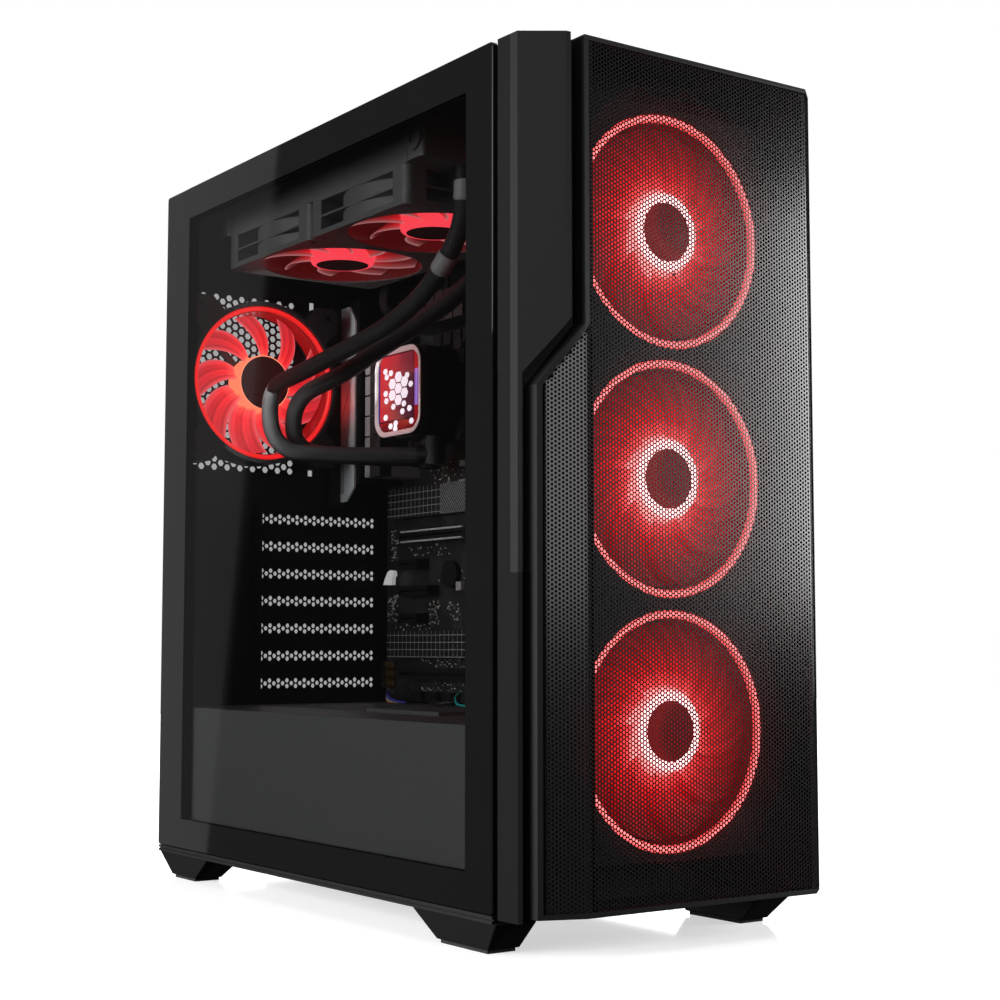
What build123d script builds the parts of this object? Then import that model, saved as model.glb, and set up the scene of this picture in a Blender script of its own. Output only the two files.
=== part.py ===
from build123d import *
import os
from math import cos, pi, radians, sin, sqrt, tan

# Overall size in millimetres: origin under the middle of the tower, front at -Y, glass side at -X
HALF_WIDTH = 107.0
HALF_DEPTH = 227.5
BODY_TOP = 487.5
BASE_Z = 18.0
SHEET = 1.0

# Chassis box
LEFT_EDGE = -100.5
RIGHT_EDGE = 100.5
CHASSIS_FRONT = -190.0
REAR_IN = 220.0
REAR_OUT = REAR_IN + SHEET
PAN_TOP = BASE_Z + SHEET
ROOF_UNDER = BODY_TOP - SHEET
RECESS_UNDER = 484.4
RECESS_X = (-92.0, 92.0)
RECESS_Y = (-150.0, 214.0)
FAN_WALL_Y = (-182.0, -181.0)
TRAY_X = 83.0
SHROUD_TOP = 119.0
SHROUD_FRONT = -174.0
SHROUD_SIDE = -98.0
LEDGE_TOP = 22.1

# Glass side panel
GLASS_THICK = 4.0
GLASS_Y = (-190.5, 223.3)
GLASS_Z = (22.4, BODY_TOP)
WINDOW_Y = (-165.2, 186.5)
WINDOW_Z = (42.6, 465.4)
RAIL_THICK = 2.0
STUD_RADIUS = 2.7
STUD_LENGTH = 8.0
STUD_PLACES = [(-186.0, 135.0), (-186.0, 455.0), (210.0, 135.0), (210.0, 455.0)]
STUD_HOLE = 3.1

# Steel panel on the far side
PANEL_GAP = 0.3
THUMB_PLACES = [(96.0, 100.0), (96.0, 400.0)]
THUMB_SHANK = 1.75
THUMB_HOLE = 1.95
THUMB_HEAD = 5.5

# Front panel
FRAME_BACK = -190.8
FRAME_BOTTOM = 22.4
PILLAR_BOTTOM = 20.4
FRAME_WALL = 2.4
FRAME_SKIN = [(-97.9, -218.0), (-72.9, -227.5), (91.0, -227.5), (104.5, -216.2)]
FRAME_SIDE = 106.2
PILLAR_GAP_Y = -194.0
MESH_Z = (25.2, 484.6)
MESH_LEFT_LOW = -94.8
MESH_LEFT_HIGH = -69.8
MESH_THICK = 0.9
MESH_SUNK = 0.5
MESH_ROOM = 0.2
SLANT_LOW = 297.1
SLANT_HIGH = 330.9
SLANT_RISE = (SLANT_HIGH - SLANT_LOW) / (MESH_LEFT_HIGH - MESH_LEFT_LOW)
CLIP_PLACES = [(92.0, 32.0), (-91.0, 32.0), (92.0, 478.0), (-66.0, 478.0)]
CLIP_RADIUS = 2.8
CLIP_HOLE = 3.2

# Fans: frame side, frame depth, bore, hub and blade tip diameters
FRONT_FAN = dict(side=140.0, deep=25.0, bore=124.0, hub=47.0, tip=121.0, seat=134.0, sunk=3.0)
REAR_FAN = dict(side=120.0, deep=25.0, bore=105.5, hub=41.0, tip=103.0, seat=113.4, ears=24.0)
RADIATOR_FAN = dict(side=120.0, deep=25.0, bore=114.0, hub=45.5, tip=111.0, seat=0.0, sunk=0.2)
PSU_FAN = dict(side=130.0, deep=22.0, bore=126.0, hub=41.0, tip=122.0, seat=0.0)
BLADES = 9
STRUT_THICK = 3.0
SHAFT_RADIUS = 1.5
SHAFT_CLEARANCE = 0.05
FRONT_FAN_X = 3.9
FRONT_FAN_PITCH = 140.0
FRONT_FAN_MIDDLE = 255.0
REAR_FAN_CENTRE = (-40.5, 354.3)
RADIATOR_FAN_Y = (8.0, 128.5)
RADIATOR_X = (-75.0, 45.0)
RADIATOR_Z = (457.2, RECESS_UNDER)
RADIATOR_Y = (-72.0, 205.0)
TANK_LENGTH = 18.5

# Main board
BOARD_FACE = 75.0
BOARD_THICK = 1.6
BOARD_Y = (-32.0, 212.0)
BOARD_Z = (121.0, 426.0)
SLOT_PITCH = 20.32
SLOT_COUNT = 7
SLOT_TOP_Z = 256.3
SLOT_X = (-36.0, 70.0)
SCREW_Y = (205.5, 52.0, -26.0)
SCREW_Z = (127.4, 282.8, 416.0)
SCREW_RADIUS = 1.6
SCREW_HOLE = 1.7
SLOT_SCREW_Y = 212.0
CPU_Y = 114.5
CPU_Z = 343.5
SOCKET_TOP = 70.5
CHIP_TOP = 66.5
PLATE_TOP = 62.5
PUMP_TOP = 31.0
CAP_TOP = 22.0
PUMP_SIZE = (60.0, 65.0)
EAR_REACH = 36.0

# Power supply
PSU_X = (-68.0, 82.0)
PSU_Y = (80.0, REAR_IN)
PSU_Z = (22.0, 108.0)
PSU_FAN_CENTRE = (7.0, 150.0)
SUPPLY_SCREWS = [(-65.5, 24.5), (79.5, 24.5), (-65.5, 105.5), (79.5, 105.5)]
INLET_X = (24.0, 54.0)
INLET_Z = (60.0, 84.0)
ROCKER_X = (2.0, 16.0)
ROCKER_Z = (62.0, 82.0)
PIN_RADIUS = 1.5

# Top socket panel
IO_X = (-20.0, 80.0)
IO_Y = (-178.0, -158.0)
IO_Z = (474.0, BODY_TOP)
IO_MIDDLE = (IO_Y[0] + IO_Y[1]) / 2
POWER_X = 64.0
POWER_RADIUS = 7.5
RESET_X = 46.0
RESET_RADIUS = 3.5
BUTTON_GAP = 0.3
BUTTON_PROUD = 1.0
USB_X = (24.0, 4.0)
AUDIO_X = (-9.0, -16.0)

# Hoses: outer diameter and the route of each, from the radiator tank to the pump
HOSE_DIAMETER = 12.0
SUPPLY_ROUTE = [
    (-38.5, -62.5, 449.0), (-38.5, -62.5, 428.0), (-39.5, -50.0, 407.7), (-40.5, -30.0, 391.0),
    (-41.0, -6.0, 379.0), (-44.0, 25.0, 367.7), (-50.0, 64.4, 359.5), (-55.0, 111.6, 350.5),
    (-52.0, 170.0, 346.0), (-44.0, 176.0, 302.0), (-8.0, 152.0, 299.0), (19.0, 124.5, 297.8),
    (35.8, 106.3, 298.0)]
RETURN_ROUTE = [
    (-3.0, -62.5, 449.0), (-3.0, -62.5, 428.0), (-4.0, -46.0, 408.0), (-8.0, -14.4, 390.8),
    (-14.0, 28.6, 375.3), (-22.0, 71.8, 361.0), (-28.0, 109.0, 349.0), (-33.0, 166.0, 340.0),
    (-25.0, 181.0, 304.0), (8.0, 163.0, 300.0), (28.0, 144.0, 298.5), (44.9, 127.8, 298.0)]
STUB_LENGTH = 12.0
STUB_RADIUS = 6.8
COLLAR_RADIUS = 7.2
ELBOW_RADIUS = 7.6
CABLE_DIAMETER = 9.0
ATX_ROUTE = [
    (50.0, -26.5, 326.0), (38.0, -26.5, 326.0), (27.0, -36.0, 326.0), (29.0, -51.0, 325.0),
    (45.0, -56.5, 324.0), (66.0, -55.0, 323.5), (87.0, -53.0, 324.0)]
EPS_ROUTE = [
    (62.0, 172.0, 411.0), (47.0, 172.0, 411.0), (47.0, 171.5, 431.0), (66.0, 170.8, 434.0),
    (86.0, 170.0, 436.0)]

# Feet
FOOT_OUTER = (106.5, 100.5)
FOOT_INNER = 79.5
FRONT_FOOT_TOP = (-193.0, -112.0)
FRONT_FOOT_SOLE = (-177.0, -128.0)
REAR_FOOT_TOP = (146.0, 221.0)
REAR_FOOT_SOLE = (177.0, 213.0)
PAD_THICK = 2.0


def block(x, y, z):
    """Box between a low and a high value along each axis."""
    spans = (x, y, z)
    size = [high - low for low, high in spans]
    middle = [(high + low) / 2 for low, high in spans]
    return Pos(*middle) * Box(*size)


def outline_face(points):
    """Flat face inside a closed run of points."""
    return make_face(Polyline(*points, close=True))


def prism_z(points, low, high):
    """Outline in x and y, drawn up from low to high."""
    return Pos(0, 0, low) * extrude(outline_face(points), high - low)


def prism_y(points, low, high):
    """Outline in x and z, drawn back from low to high."""
    plane = Plane(origin=(0, low, 0), x_dir=(1, 0, 0), z_dir=(0, -1, 0))
    return extrude(plane * outline_face(points), low - high)


def rod(start, direction, length, radius):
    """Round bar from a point along a direction."""
    return extrude(Plane(origin=start, z_dir=direction) * Circle(radius), length)


def slab_x(low, high, middle, size, corner):
    """Slab with rounded corners, square to X, about a middle in y and z."""
    plane = Plane(origin=(low, middle[0], middle[1]), x_dir=(0, 1, 0), z_dir=(1, 0, 0))
    return extrude(plane * RectangleRounded(size[0], size[1], corner), high - low)


def group(pieces):
    """Separate solids that share one node."""
    return Compound([solid for piece in pieces for solid in piece.solids()])


def rectangle(u, v):
    """Corner points of a rectangle."""
    return [(u[0], v[0]), (u[1], v[0]), (u[1], v[1]), (u[0], v[1])]


def hexagon(u, v, across):
    """Corner points of a hexagon with its points to the left and right."""
    reach = across / sqrt(3)
    return [(u + reach * cos(k * pi / 3), v + reach * sin(k * pi / 3)) for k in range(6)]


def pierced_plate(outline, holes, y):
    """Sheet square to Y between two values of y, with holes given by their corners in x and z."""
    def wire(points):
        return Wire.make_polygon([(u, y[0], v) for u, v in points], close=True)
    face = Face(wire(outline), [wire(points) for points in holes])
    return Solid.extrude(face, (0, y[1] - y[0], 0))


def inset(points, depth):
    """Open run of points moved to its left by a depth, with its corners kept sharp."""
    vectors = [Vector(*point) for point in points]
    ways = [(b - a).normalized() for a, b in zip(vectors, vectors[1:])]
    sides = [Vector(-way.Y, way.X) for way in ways]
    moved = [vectors[0] + sides[0] * depth]
    for corner, first, second in zip(vectors[1:-1], sides, sides[1:]):
        moved.append(corner + (first + second) * (depth / (1 + first.dot(second))))
    moved.append(vectors[-1] + sides[-1] * depth)
    return [(point.X, point.Y) for point in moved]


def hose(route, diameter, name):
    """Round tube along straight runs joined by tangent arcs, each as large as its runs allow."""
    points = [Vector(*point) for point in route]
    runs = [b - a for a, b in zip(points, points[1:])]
    radii = []
    for before, after in zip(runs, runs[1:]):
        half_turn = radians(before.get_angle(after)) / 2
        radii.append(0.45 * min(before.length, after.length) / tan(half_turn))
    path = FilletPolyline(*points, radius=radii)
    tube = sweep(Plane(origin=points[0], z_dir=runs[0]) * Circle(diameter / 2), path=path)
    expected = pi * diameter ** 2 / 4 * path.length
    print(f"{name}: length {path.length:.0f}, least radius {min(radii):.0f}, "
          f"volume ratio {tube.volume / expected:.3f}")
    return tube


# Fans, each made with its back on z = 0 and its open face up

def fan_spider(bore, hub):
    """Motor seat, four struts and the bearing tube."""
    seat = Cylinder(hub / 2 - 1, STRUT_THICK, align=(Align.CENTER, Align.CENTER, Align.MIN))
    for turn in (45, 135, 225, 315):
        strut = block((0, bore / 2 + 1), (-2.5, 2.5), (0, STRUT_THICK))
        seat += Rot(0, 0, turn) * strut
    seat += rod((0, 0, STRUT_THICK), (0, 0, 1), 9, 4.5)
    return seat - rod((0, 0, 1), (0, 0, 1), 20, SHAFT_RADIUS + SHAFT_CLEARANCE)


def fan_corners(side, deep):
    """Corner posts of a square frame, its two flanges and a thin rib between them."""
    post = side / 2 - 15
    square = RectangleRounded(side, side, 5)
    corners = extrude(square, deep)
    corners -= block((-post, post), (-side, side), (0, deep))
    corners -= block((-side, side), (-post, post), (0, deep))
    for level, thick in ((0, 2.0), (deep / 2 - 0.7, 1.4), (deep - 3.5, 3.5)):
        corners += Pos(0, 0, level) * extrude(square, thick)
    return corners


def fan_ears(side, deep, wide):
    """Corner ears of a round frame: what two crossed bars leave of a square."""
    bars = [Rot(0, 0, turn) * Box(2 * side, wide, 4 * deep) for turn in (45, 135)]
    return extrude(RectangleRounded(side, side, 5), deep) & (bars[0] + bars[1])


def fan_frame(side, deep, bore, hub, seat, ears=0, **rest):
    """Round duct with square corners or ears, and the motor spider."""
    half = side / 2
    frame = rod((0, 0, 0), (0, 0, 1), deep, half - 0.1)
    frame += fan_ears(side, deep, ears) if ears else fan_corners(side, deep)
    frame -= rod((0, 0, -1), (0, 0, 1), deep + 2, bore / 2)
    if seat:
        frame -= rod((0, 0, deep - 4), (0, 0, 1), 5, seat / 2)
    hole = half - 7.5
    for x in (-hole, hole):
        for y in (-hole, hole):
            frame -= rod((x, y, -1), (0, 0, 1), deep + 2, 2.15)
    return frame + fan_spider(bore, hub)


def fan_ring(deep, bore, seat, **rest):
    """Light ring that lies in the step round the open face."""
    ring = rod((0, 0, deep - 4), (0, 0, 1), 3.6, seat / 2 - 0.1)
    return ring - rod((0, 0, deep - 5), (0, 0, 1), 6, bore / 2)


def blade(hub, tip, deep):
    """One twisted blade, from inside the hub wall to the tip."""
    sections = []
    for radius, chord, pitch, lead in ((hub / 2 - 1.3, 17, 52, 0), (tip / 2 + 2, 34, 27, 9)):
        along = Vector(cos(radians(pitch)), sin(radians(pitch))) * (chord / 2)
        across = Vector(-sin(radians(pitch)), cos(radians(pitch))) * 0.8
        corners = [along + across, across - along, -along - across, along - across]
        plane = Plane(origin=(radius, lead, deep * 0.52), x_dir=(0, 1, 0), z_dir=(1, 0, 0))
        sections.append(plane * outline_face([(c.X, c.Y) for c in corners]))
    return loft(sections, ruled=True)


def fan_rotor(deep, hub, tip, sunk=1.0, **rest):
    """Hub cup with its shaft and its ring of blades; the hub's face lies sunk below the frame's."""
    front = deep - sunk
    cup = rod((0, 0, 5), (0, 0, 1), front - 5, hub / 2)
    cup -= rod((0, 0, 5), (0, 0, 1), front - 7, hub / 2 - 2)
    cup += rod((0, 0, 2), (0, 0, 1), front - 3, SHAFT_RADIUS)
    reach = rod((0, 0, 0), (0, 0, 1), deep, tip / 2)
    blades = [(Rot(0, 0, 360 * k / BLADES) * blade(hub, tip, deep)) & reach for k in range(BLADES)]
    return cup + blades


def front_fan_place(level):
    """Front fans face forward, on the front of the fan wall."""
    return Pos(FRONT_FAN_X, FAN_WALL_Y[0], FRONT_FAN_MIDDLE + level * FRONT_FAN_PITCH) * Rot(90, 0, 0)


def rear_fan_place():
    """The rear fan faces forward, against the rear panel."""
    return Pos(REAR_FAN_CENTRE[0], REAR_IN, REAR_FAN_CENTRE[1]) * Rot(90, 0, 0)


def radiator_fan_place(y):
    """Radiator fans face down, under the radiator."""
    return Pos(sum(RADIATOR_X) / 2, y, RADIATOR_Z[0]) * Rot(180, 0, 0)


# Chassis

def base_pan():
    pan = block((LEFT_EDGE, RIGHT_EDGE), (CHASSIS_FRONT, REAR_IN), (BASE_Z, PAN_TOP))
    for k in range(9):
        y = 98.0 + 13.0 * k
        pan -= block((-38, 52), (y - 3, y + 3), (BASE_Z - 1, PAN_TOP + 1))
    ledge = block((-HALF_WIDTH, LEFT_EDGE), (GLASS_Y[0], 222), (BASE_Z, LEDGE_TOP))
    ledge -= block((-HALF_WIDTH, -HALF_WIDTH + 1), (GLASS_Y[0], 222), (19.7, 20.5))
    for y in (92, 208):
        pan += block((PSU_X[0], PSU_X[1]), (y - 4, y + 4), (PAN_TOP, PSU_Z[0]))
    for x, lip in ((-64.0, 5.0), (75.0, -5.0)):
        wall = sorted((x, x + lip / 5))
        foot = sorted((x, x + lip))
        pan += block(wall, (74, 219), (12.5, BASE_Z))
        pan += block(foot, (74, 219), (12.5, 13.3))
    return pan + ledge


def honeycomb():
    """Hexagon holes of the rear fan grille on a staggered grid."""
    pitch = 6.0
    holes = []
    for column in range(17):
        x = -89.4 + column * pitch * sqrt(3) / 2
        shift = pitch / 2 * (column % 2)
        holes += [hexagon(x, 292.8 + shift + pitch * row, 4.5) for row in range(22 - column % 2)]
    return holes


def slot_z(k):
    return SLOT_TOP_Z - SLOT_PITCH * k


def rear_panel():
    holes = honeycomb()
    for k in range(SLOT_COUNT):
        holes.append(rectangle((SLOT_X[0] + 3, SLOT_X[1]), (slot_z(k) - 6.2, slot_z(k) + 6.2)))
    holes.append(rectangle((31.5, 76.0), (268.0, 426.7)))
    holes.append(rectangle((PSU_X[0] + 5, PSU_X[1] - 5), (PSU_Z[0] + 5, PSU_Z[1] - 5)))
    for z in (295.0, 418.0):
        holes.append(rectangle((9.0, 13.0), (z - 5, z + 5)))
    outline = rectangle((LEFT_EDGE, RIGHT_EDGE), (BASE_Z, ROOF_UNDER))
    panel = pierced_plate(outline, holes, (REAR_IN, REAR_OUT))
    for z in ((PAN_TOP, 285.0), (424.0, 480.0)):
        panel += block((LEFT_EDGE, LEFT_EDGE + SHEET), (200, REAR_IN), z)
    panel += block((-38, -36), (206, REAR_IN), (slot_z(6) - 9.5, slot_z(0) + 9.5))
    for y, z in STUD_PLACES[2:]:
        panel -= rod((LEFT_EDGE - 1, y, z), (1, 0, 0), 4, STUD_HOLE)
    for x, z in THUMB_PLACES:
        panel -= rod((x, REAR_IN - 1, z), (0, 1, 0), 4, THUMB_HOLE)
    for k in range(SLOT_COUNT):
        panel -= rod((-40, SLOT_SCREW_Y, slot_z(k)), (1, 0, 0), 6, SCREW_HOLE)
    return drilled_for_supply(panel)


def roof_frame():
    rim = block((LEFT_EDGE, RIGHT_EDGE), (CHASSIS_FRONT, REAR_OUT), (ROOF_UNDER, BODY_TOP))
    tub = block(RECESS_X, RECESS_Y, (RECESS_UNDER, BODY_TOP))
    inner = [(span[0] + SHEET, span[1] - SHEET) for span in (RECESS_X, RECESS_Y)]
    roof = rim + tub - block(inner[0], inner[1], (RECESS_UNDER + SHEET, BODY_TOP + 1))
    for y in ((-46.0, 60.0), (76.0, 180.0)):
        roof -= block((-66, 36), y, (RECESS_UNDER - 1, BODY_TOP))
    return roof - block(IO_X, IO_Y, (ROOF_UNDER - 1, BODY_TOP + 1))


def fan_wall():
    wall = block((LEFT_EDGE, RIGHT_EDGE), FAN_WALL_Y, (PAN_TOP, ROOF_UNDER))
    reach = FRONT_FAN_PITCH * 1.5 - 4
    wall -= block((FRONT_FAN_X - 64, FRONT_FAN_X + 64), (-190, -170),
                  (FRONT_FAN_MIDDLE - reach, FRONT_FAN_MIDDLE + reach))
    for x in (LEFT_EDGE, RIGHT_EDGE - SHEET):
        wall += block((x, x + SHEET), (CHASSIS_FRONT, FAN_WALL_Y[0]), (PAN_TOP, ROOF_UNDER))
    for y, z in STUD_PLACES[:2]:
        wall -= rod((LEFT_EDGE - 1, y, z), (1, 0, 0), 4, STUD_HOLE)
    for x, z in CLIP_PLACES:
        wall -= rod((x, FAN_WALL_Y[0] - 1, z), (0, 1, 0), 4, CLIP_HOLE)
    return wall


GROMMET_PLACES = [(-53.0, 324.0, 26.0, 80.0), (-53.0, 220.0, 26.0, 80.0), (170.0, 440.0, 60.0, 24.0)]
CABLE_PLATE_END = -36.0


def grommet_holes(places):
    return [slab_x(TRAY_X - 1, TRAY_X + 2, (y, z), (wide, tall), 8) for y, z, wide, tall in places]


def motherboard_tray():
    tray = block((TRAY_X, TRAY_X + SHEET), (CABLE_PLATE_END, REAR_IN), (PAN_TOP, RECESS_UNDER))
    tray -= block((TRAY_X - 1, TRAY_X + 2), (CPU_Y - 50, CPU_Y + 50), (CPU_Z - 50, CPU_Z + 50))
    return tray - grommet_holes(GROMMET_PLACES[2:])


def cable_plate():
    """Plate beside the board that carries the leads to the back, between the fan wall and the tray."""
    plate = block((TRAY_X, TRAY_X + SHEET), (FAN_WALL_Y[1], CABLE_PLATE_END), (PAN_TOP, RECESS_UNDER))
    return plate - grommet_holes(GROMMET_PLACES[:2])


def cable_grommets():
    rings = []
    for y, z, wide, tall in GROMMET_PLACES:
        ring = slab_x(TRAY_X - 1.5, TRAY_X, (y, z), (wide + 5, tall + 5), 10)
        ring += slab_x(TRAY_X, TRAY_X + 2.5, (y, z), (wide - 0.2, tall - 0.2), 7.9)
        rings.append(ring - slab_x(TRAY_X - 3, TRAY_X + 4, (y, z), (wide - 5, tall - 5), 5.5))
    return group(rings)


def psu_shroud():
    shroud = block((SHROUD_SIDE, TRAY_X), (SHROUD_FRONT, REAR_IN), (SHROUD_TOP - SHEET, SHROUD_TOP))
    shroud += block((SHROUD_SIDE, SHROUD_SIDE + SHEET), (SHROUD_FRONT, REAR_IN), (PAN_TOP, SHROUD_TOP))
    for k in range(13):
        y = 55.0 + 12.5 * k
        shroud -= block((-40, 30), (y - 3, y + 3), (SHROUD_TOP - 3, SHROUD_TOP + 1))
    return shroud + block((-42, 4), (-40, 46), (SHROUD_TOP, SHROUD_TOP + 2.4))


def slot_covers():
    pitch = 4.2
    covers = []
    for k in range(SLOT_COUNT):
        holes = []
        for column in range(27):
            x = -29.2 + column * pitch * sqrt(3) / 2
            rows = (0.0,) if column % 2 else (-pitch / 2, pitch / 2)
            holes += [hexagon(x, slot_z(k) + row, 3.1) for row in rows]
        edge = rectangle((SLOT_X[0], SLOT_X[1] + 1), (slot_z(k) - 9.2, slot_z(k) + 9.2))
        cover = pierced_plate(edge, holes, (REAR_IN - SHEET, REAR_IN))
        covers.append(cover)
    return group(covers)


def screw(seat, direction, grip=5.0):
    """Pan head on a seat, with its shank along the given direction."""
    head = rod(seat, [-d for d in direction], 2.4, 3.4)
    return head + rod(seat, direction, grip, SCREW_RADIUS)


def case_screws():
    board = [screw((BOARD_FACE, y, z), (1, 0, 0)) for y in SCREW_Y for z in SCREW_Z]
    slots = [screw((-38, SLOT_SCREW_Y, slot_z(k)), (1, 0, 0), 1.9) for k in range(SLOT_COUNT)]
    supply = [screw((x, REAR_OUT, z), (0, -1, 0), 1.9) for x, z in SUPPLY_SCREWS]
    return group(board + slots + supply)


def drilled_for_supply(sheet):
    """Sheet with the holes of the power supply's four screws."""
    for x, z in SUPPLY_SCREWS:
        sheet -= rod((x, REAR_IN - 2, z), (0, 1, 0), 4, SCREW_HOLE)
    return sheet


def feet():
    blocks = []
    for across in (-1, 1):
        for top, sole in ((FRONT_FOOT_TOP, FRONT_FOOT_SOLE), (REAR_FOOT_TOP, REAR_FOOT_SOLE)):
            upper = rectangle(sorted((across * FOOT_OUTER[0], across * FOOT_INNER)), top)
            lower = rectangle(sorted((across * FOOT_OUTER[1], across * FOOT_INNER)), sole)
            low = Pos(0, 0, PAD_THICK) * outline_face(lower)
            high = Pos(0, 0, BASE_Z) * outline_face(upper)
            blocks.append(loft([low, high], ruled=True))
    return group(blocks)


def foot_pads():
    pads = []
    for across in (-1, 1):
        for front, back in (FRONT_FOOT_SOLE, REAR_FOOT_SOLE):
            pads.append(block(sorted((across * (FOOT_OUTER[1] - 1.5), across * (FOOT_INNER + 1.5))),
                              (front + 2, back - 2), (0, PAD_THICK)))
    return group(pads)


# Top sockets and buttons

def top_io_panel():
    body = block((IO_X[0] + 0.3, IO_X[1] - 0.3), (IO_Y[0] + 0.3, IO_Y[1] - 0.3), IO_Z)
    flange = (ROOF_UNDER - 2.5, ROOF_UNDER)
    body += block((IO_X[0] - 4, IO_X[1] + 2.5), (IO_Y[0] - 2.5, IO_Y[1] + 4), flange)
    for x, radius in ((POWER_X, POWER_RADIUS), (RESET_X, RESET_RADIUS)):
        body -= rod((x, IO_MIDDLE, IO_Z[0] + 2), (0, 0, 1), 20, radius + BUTTON_GAP)
        body -= rod((x, IO_MIDDLE, IO_Z[0] + 2), (0, 0, 1), 8.5, radius + 1.6)
    y = (IO_MIDDLE - 3.5, IO_MIDDLE + 3.5)
    for x in USB_X:
        body -= block((x - 7.3, x + 7.3), y, (IO_Z[0] + 1, IO_Z[1] + 1))
    for x in AUDIO_X:
        body -= rod((x, IO_MIDDLE, IO_Z[0] + 1), (0, 0, 1), 20, 3.2)
    return body


def top_io_sockets():
    sockets = []
    outer = (IO_MIDDLE - 3.4, IO_MIDDLE + 3.4)
    inner = (IO_MIDDLE - 2.8, IO_MIDDLE + 2.8)
    for x in USB_X:
        shell = block((x - 7.2, x + 7.2), outer, (IO_Z[0] + 1, IO_Z[1] - 0.3))
        sockets.append(shell - block((x - 6.6, x + 6.6), inner, (IO_Z[0] + 2, IO_Z[1] + 1)))
    for x in AUDIO_X:
        barrel = rod((x, IO_MIDDLE, IO_Z[0] + 1), (0, 0, 1), 12.2, 3.1)
        sockets.append(barrel - rod((x, IO_MIDDLE, IO_Z[0] + 3), (0, 0, 1), 20, 1.8))
    return group(sockets)


def push_button(x, radius):
    """Cap with a skirt under the panel and a short stem."""
    cap = rod((x, IO_MIDDLE, IO_Z[1] - 5.2), (0, 0, 1), 5.2 + BUTTON_PROUD, radius)
    cap += rod((x, IO_MIDDLE, IO_Z[1] - 5.2), (0, 0, 1), 2.0, radius + 1.2)
    return cap + rod((x, IO_MIDDLE, IO_Z[1] - 8.5), (0, 0, 1), 4, 1.6)


# Main board and what it carries

def motherboard():
    board = block((BOARD_FACE, BOARD_FACE + BOARD_THICK), BOARD_Y, BOARD_Z)
    for y in SCREW_Y:
        for z in SCREW_Z:
            board -= rod((BOARD_FACE - 1, y, z), (1, 0, 0), 4, SCREW_HOLE)
    return board


def board_standoffs():
    posts = []
    for y in SCREW_Y:
        for z in SCREW_Z:
            plane = Plane(origin=(BOARD_FACE + BOARD_THICK, y, z), z_dir=(1, 0, 0))
            post = extrude(plane * RegularPolygon(3.2, 6), TRAY_X - BOARD_FACE - BOARD_THICK)
            posts.append(post - rod((BOARD_FACE, y, z), (1, 0, 0), 6, SCREW_HOLE))
    return group(posts)


PORT_ROWS = [(289.0, 305.0), (308.0, 324.0), (327.0, 345.0), (348.0, 364.0), (367.0, 385.0), (388.0, 404.0)]


def io_cover():
    cover = block((36, 39), (190, 216), (284, 424))
    cover += block((36, BOARD_FACE), (190, 192.5), (284, 424))
    cover += block((25.0, 77.5), (215, 216), (266, 428.5))
    for low, high in PORT_ROWS:
        cover -= block((50, 68), (214, 217), (low + 1.8, high - 1.8))
    return cover


def rear_io_ports():
    ports = []
    for low, high in PORT_ROWS:
        shell = block((50.2, BOARD_FACE), (198, 215), (low, high))
        shell += block((50.2, 67.8), (215, 219), (low + 2, high - 2))
        ports.append(shell - block((52, 66), (203, 220), (low + 3.5, high - 3.5)))
    return group(ports)


def finned_block(x, y, z, fins, along):
    """Heat sink: a block with grooves cut into its face, side by side along y or z."""
    sink = block(x, y, z)
    low, high = y if along == "y" else z
    step = (high - low) / fins
    for k in range(1, fins):
        cut = (low + k * step - 0.7, low + k * step + 0.7)
        deep = (x[0] - 1, x[0] + 0.6 * (x[1] - x[0]))
        span = (-500, 500)
        sink -= block(deep, cut, span) if along == "y" else block(deep, span, cut)
    return sink


def board_heatsinks():
    left = finned_block((40, BOARD_FACE), (166, 188), (288, 396), 7, "z")
    top = finned_block((46, BOARD_FACE), (66, 150), (394, 416), 7, "y")
    chipset = block((63, BOARD_FACE), (0, 72), (152, 226))
    return group([left, top, chipset])


def cpu_socket():
    return slab_x(SOCKET_TOP, BOARD_FACE, (CPU_Y, CPU_Z), (50, 52), 3)


def processor():
    return slab_x(CHIP_TOP, SOCKET_TOP, (CPU_Y, CPU_Z), (37.5, 37.5), 1.5)


def memory_slots():
    rows = (44.0, 34.6, 25.2, 15.8)
    return group([block((66, BOARD_FACE), (y - 3.2, y + 3.2), (268, 404)) for y in rows])


def memory_modules():
    return group([block((36, 66), (y - 3.4, y + 3.4), (269.5, 402.5)) for y in (34.6, 15.8)])


EXPANSION_END = 178.0
EXPANSION = [(243.3, 89.0), (222.9, 25.0), (202.8, 39.0), (182.5, 25.0), (141.5, 89.0)]


def expansion_slots():
    slots = []
    for z, length in EXPANSION:
        start = EXPANSION_END - length
        slot = block((64, BOARD_FACE), (start, EXPANSION_END), (z - 3.7, z + 3.7))
        slots.append(slot - block((63, 71), (start + 2, EXPANSION_END - 2), (z - 0.9, z + 0.9)))
    return group(slots)


DRIVE_PLACES = [(258.0, 280.0), (153.5, 173.0)]


def nvme_drives():
    return group([block((71, BOARD_FACE), (96, 176), z) for z in DRIVE_PLACES])


def m2_heatsinks():
    sinks = []
    for low, high in DRIVE_PLACES:
        sinks.append(block((65, 71), (90, 196), (low, high)))
    return group(sinks)


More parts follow.
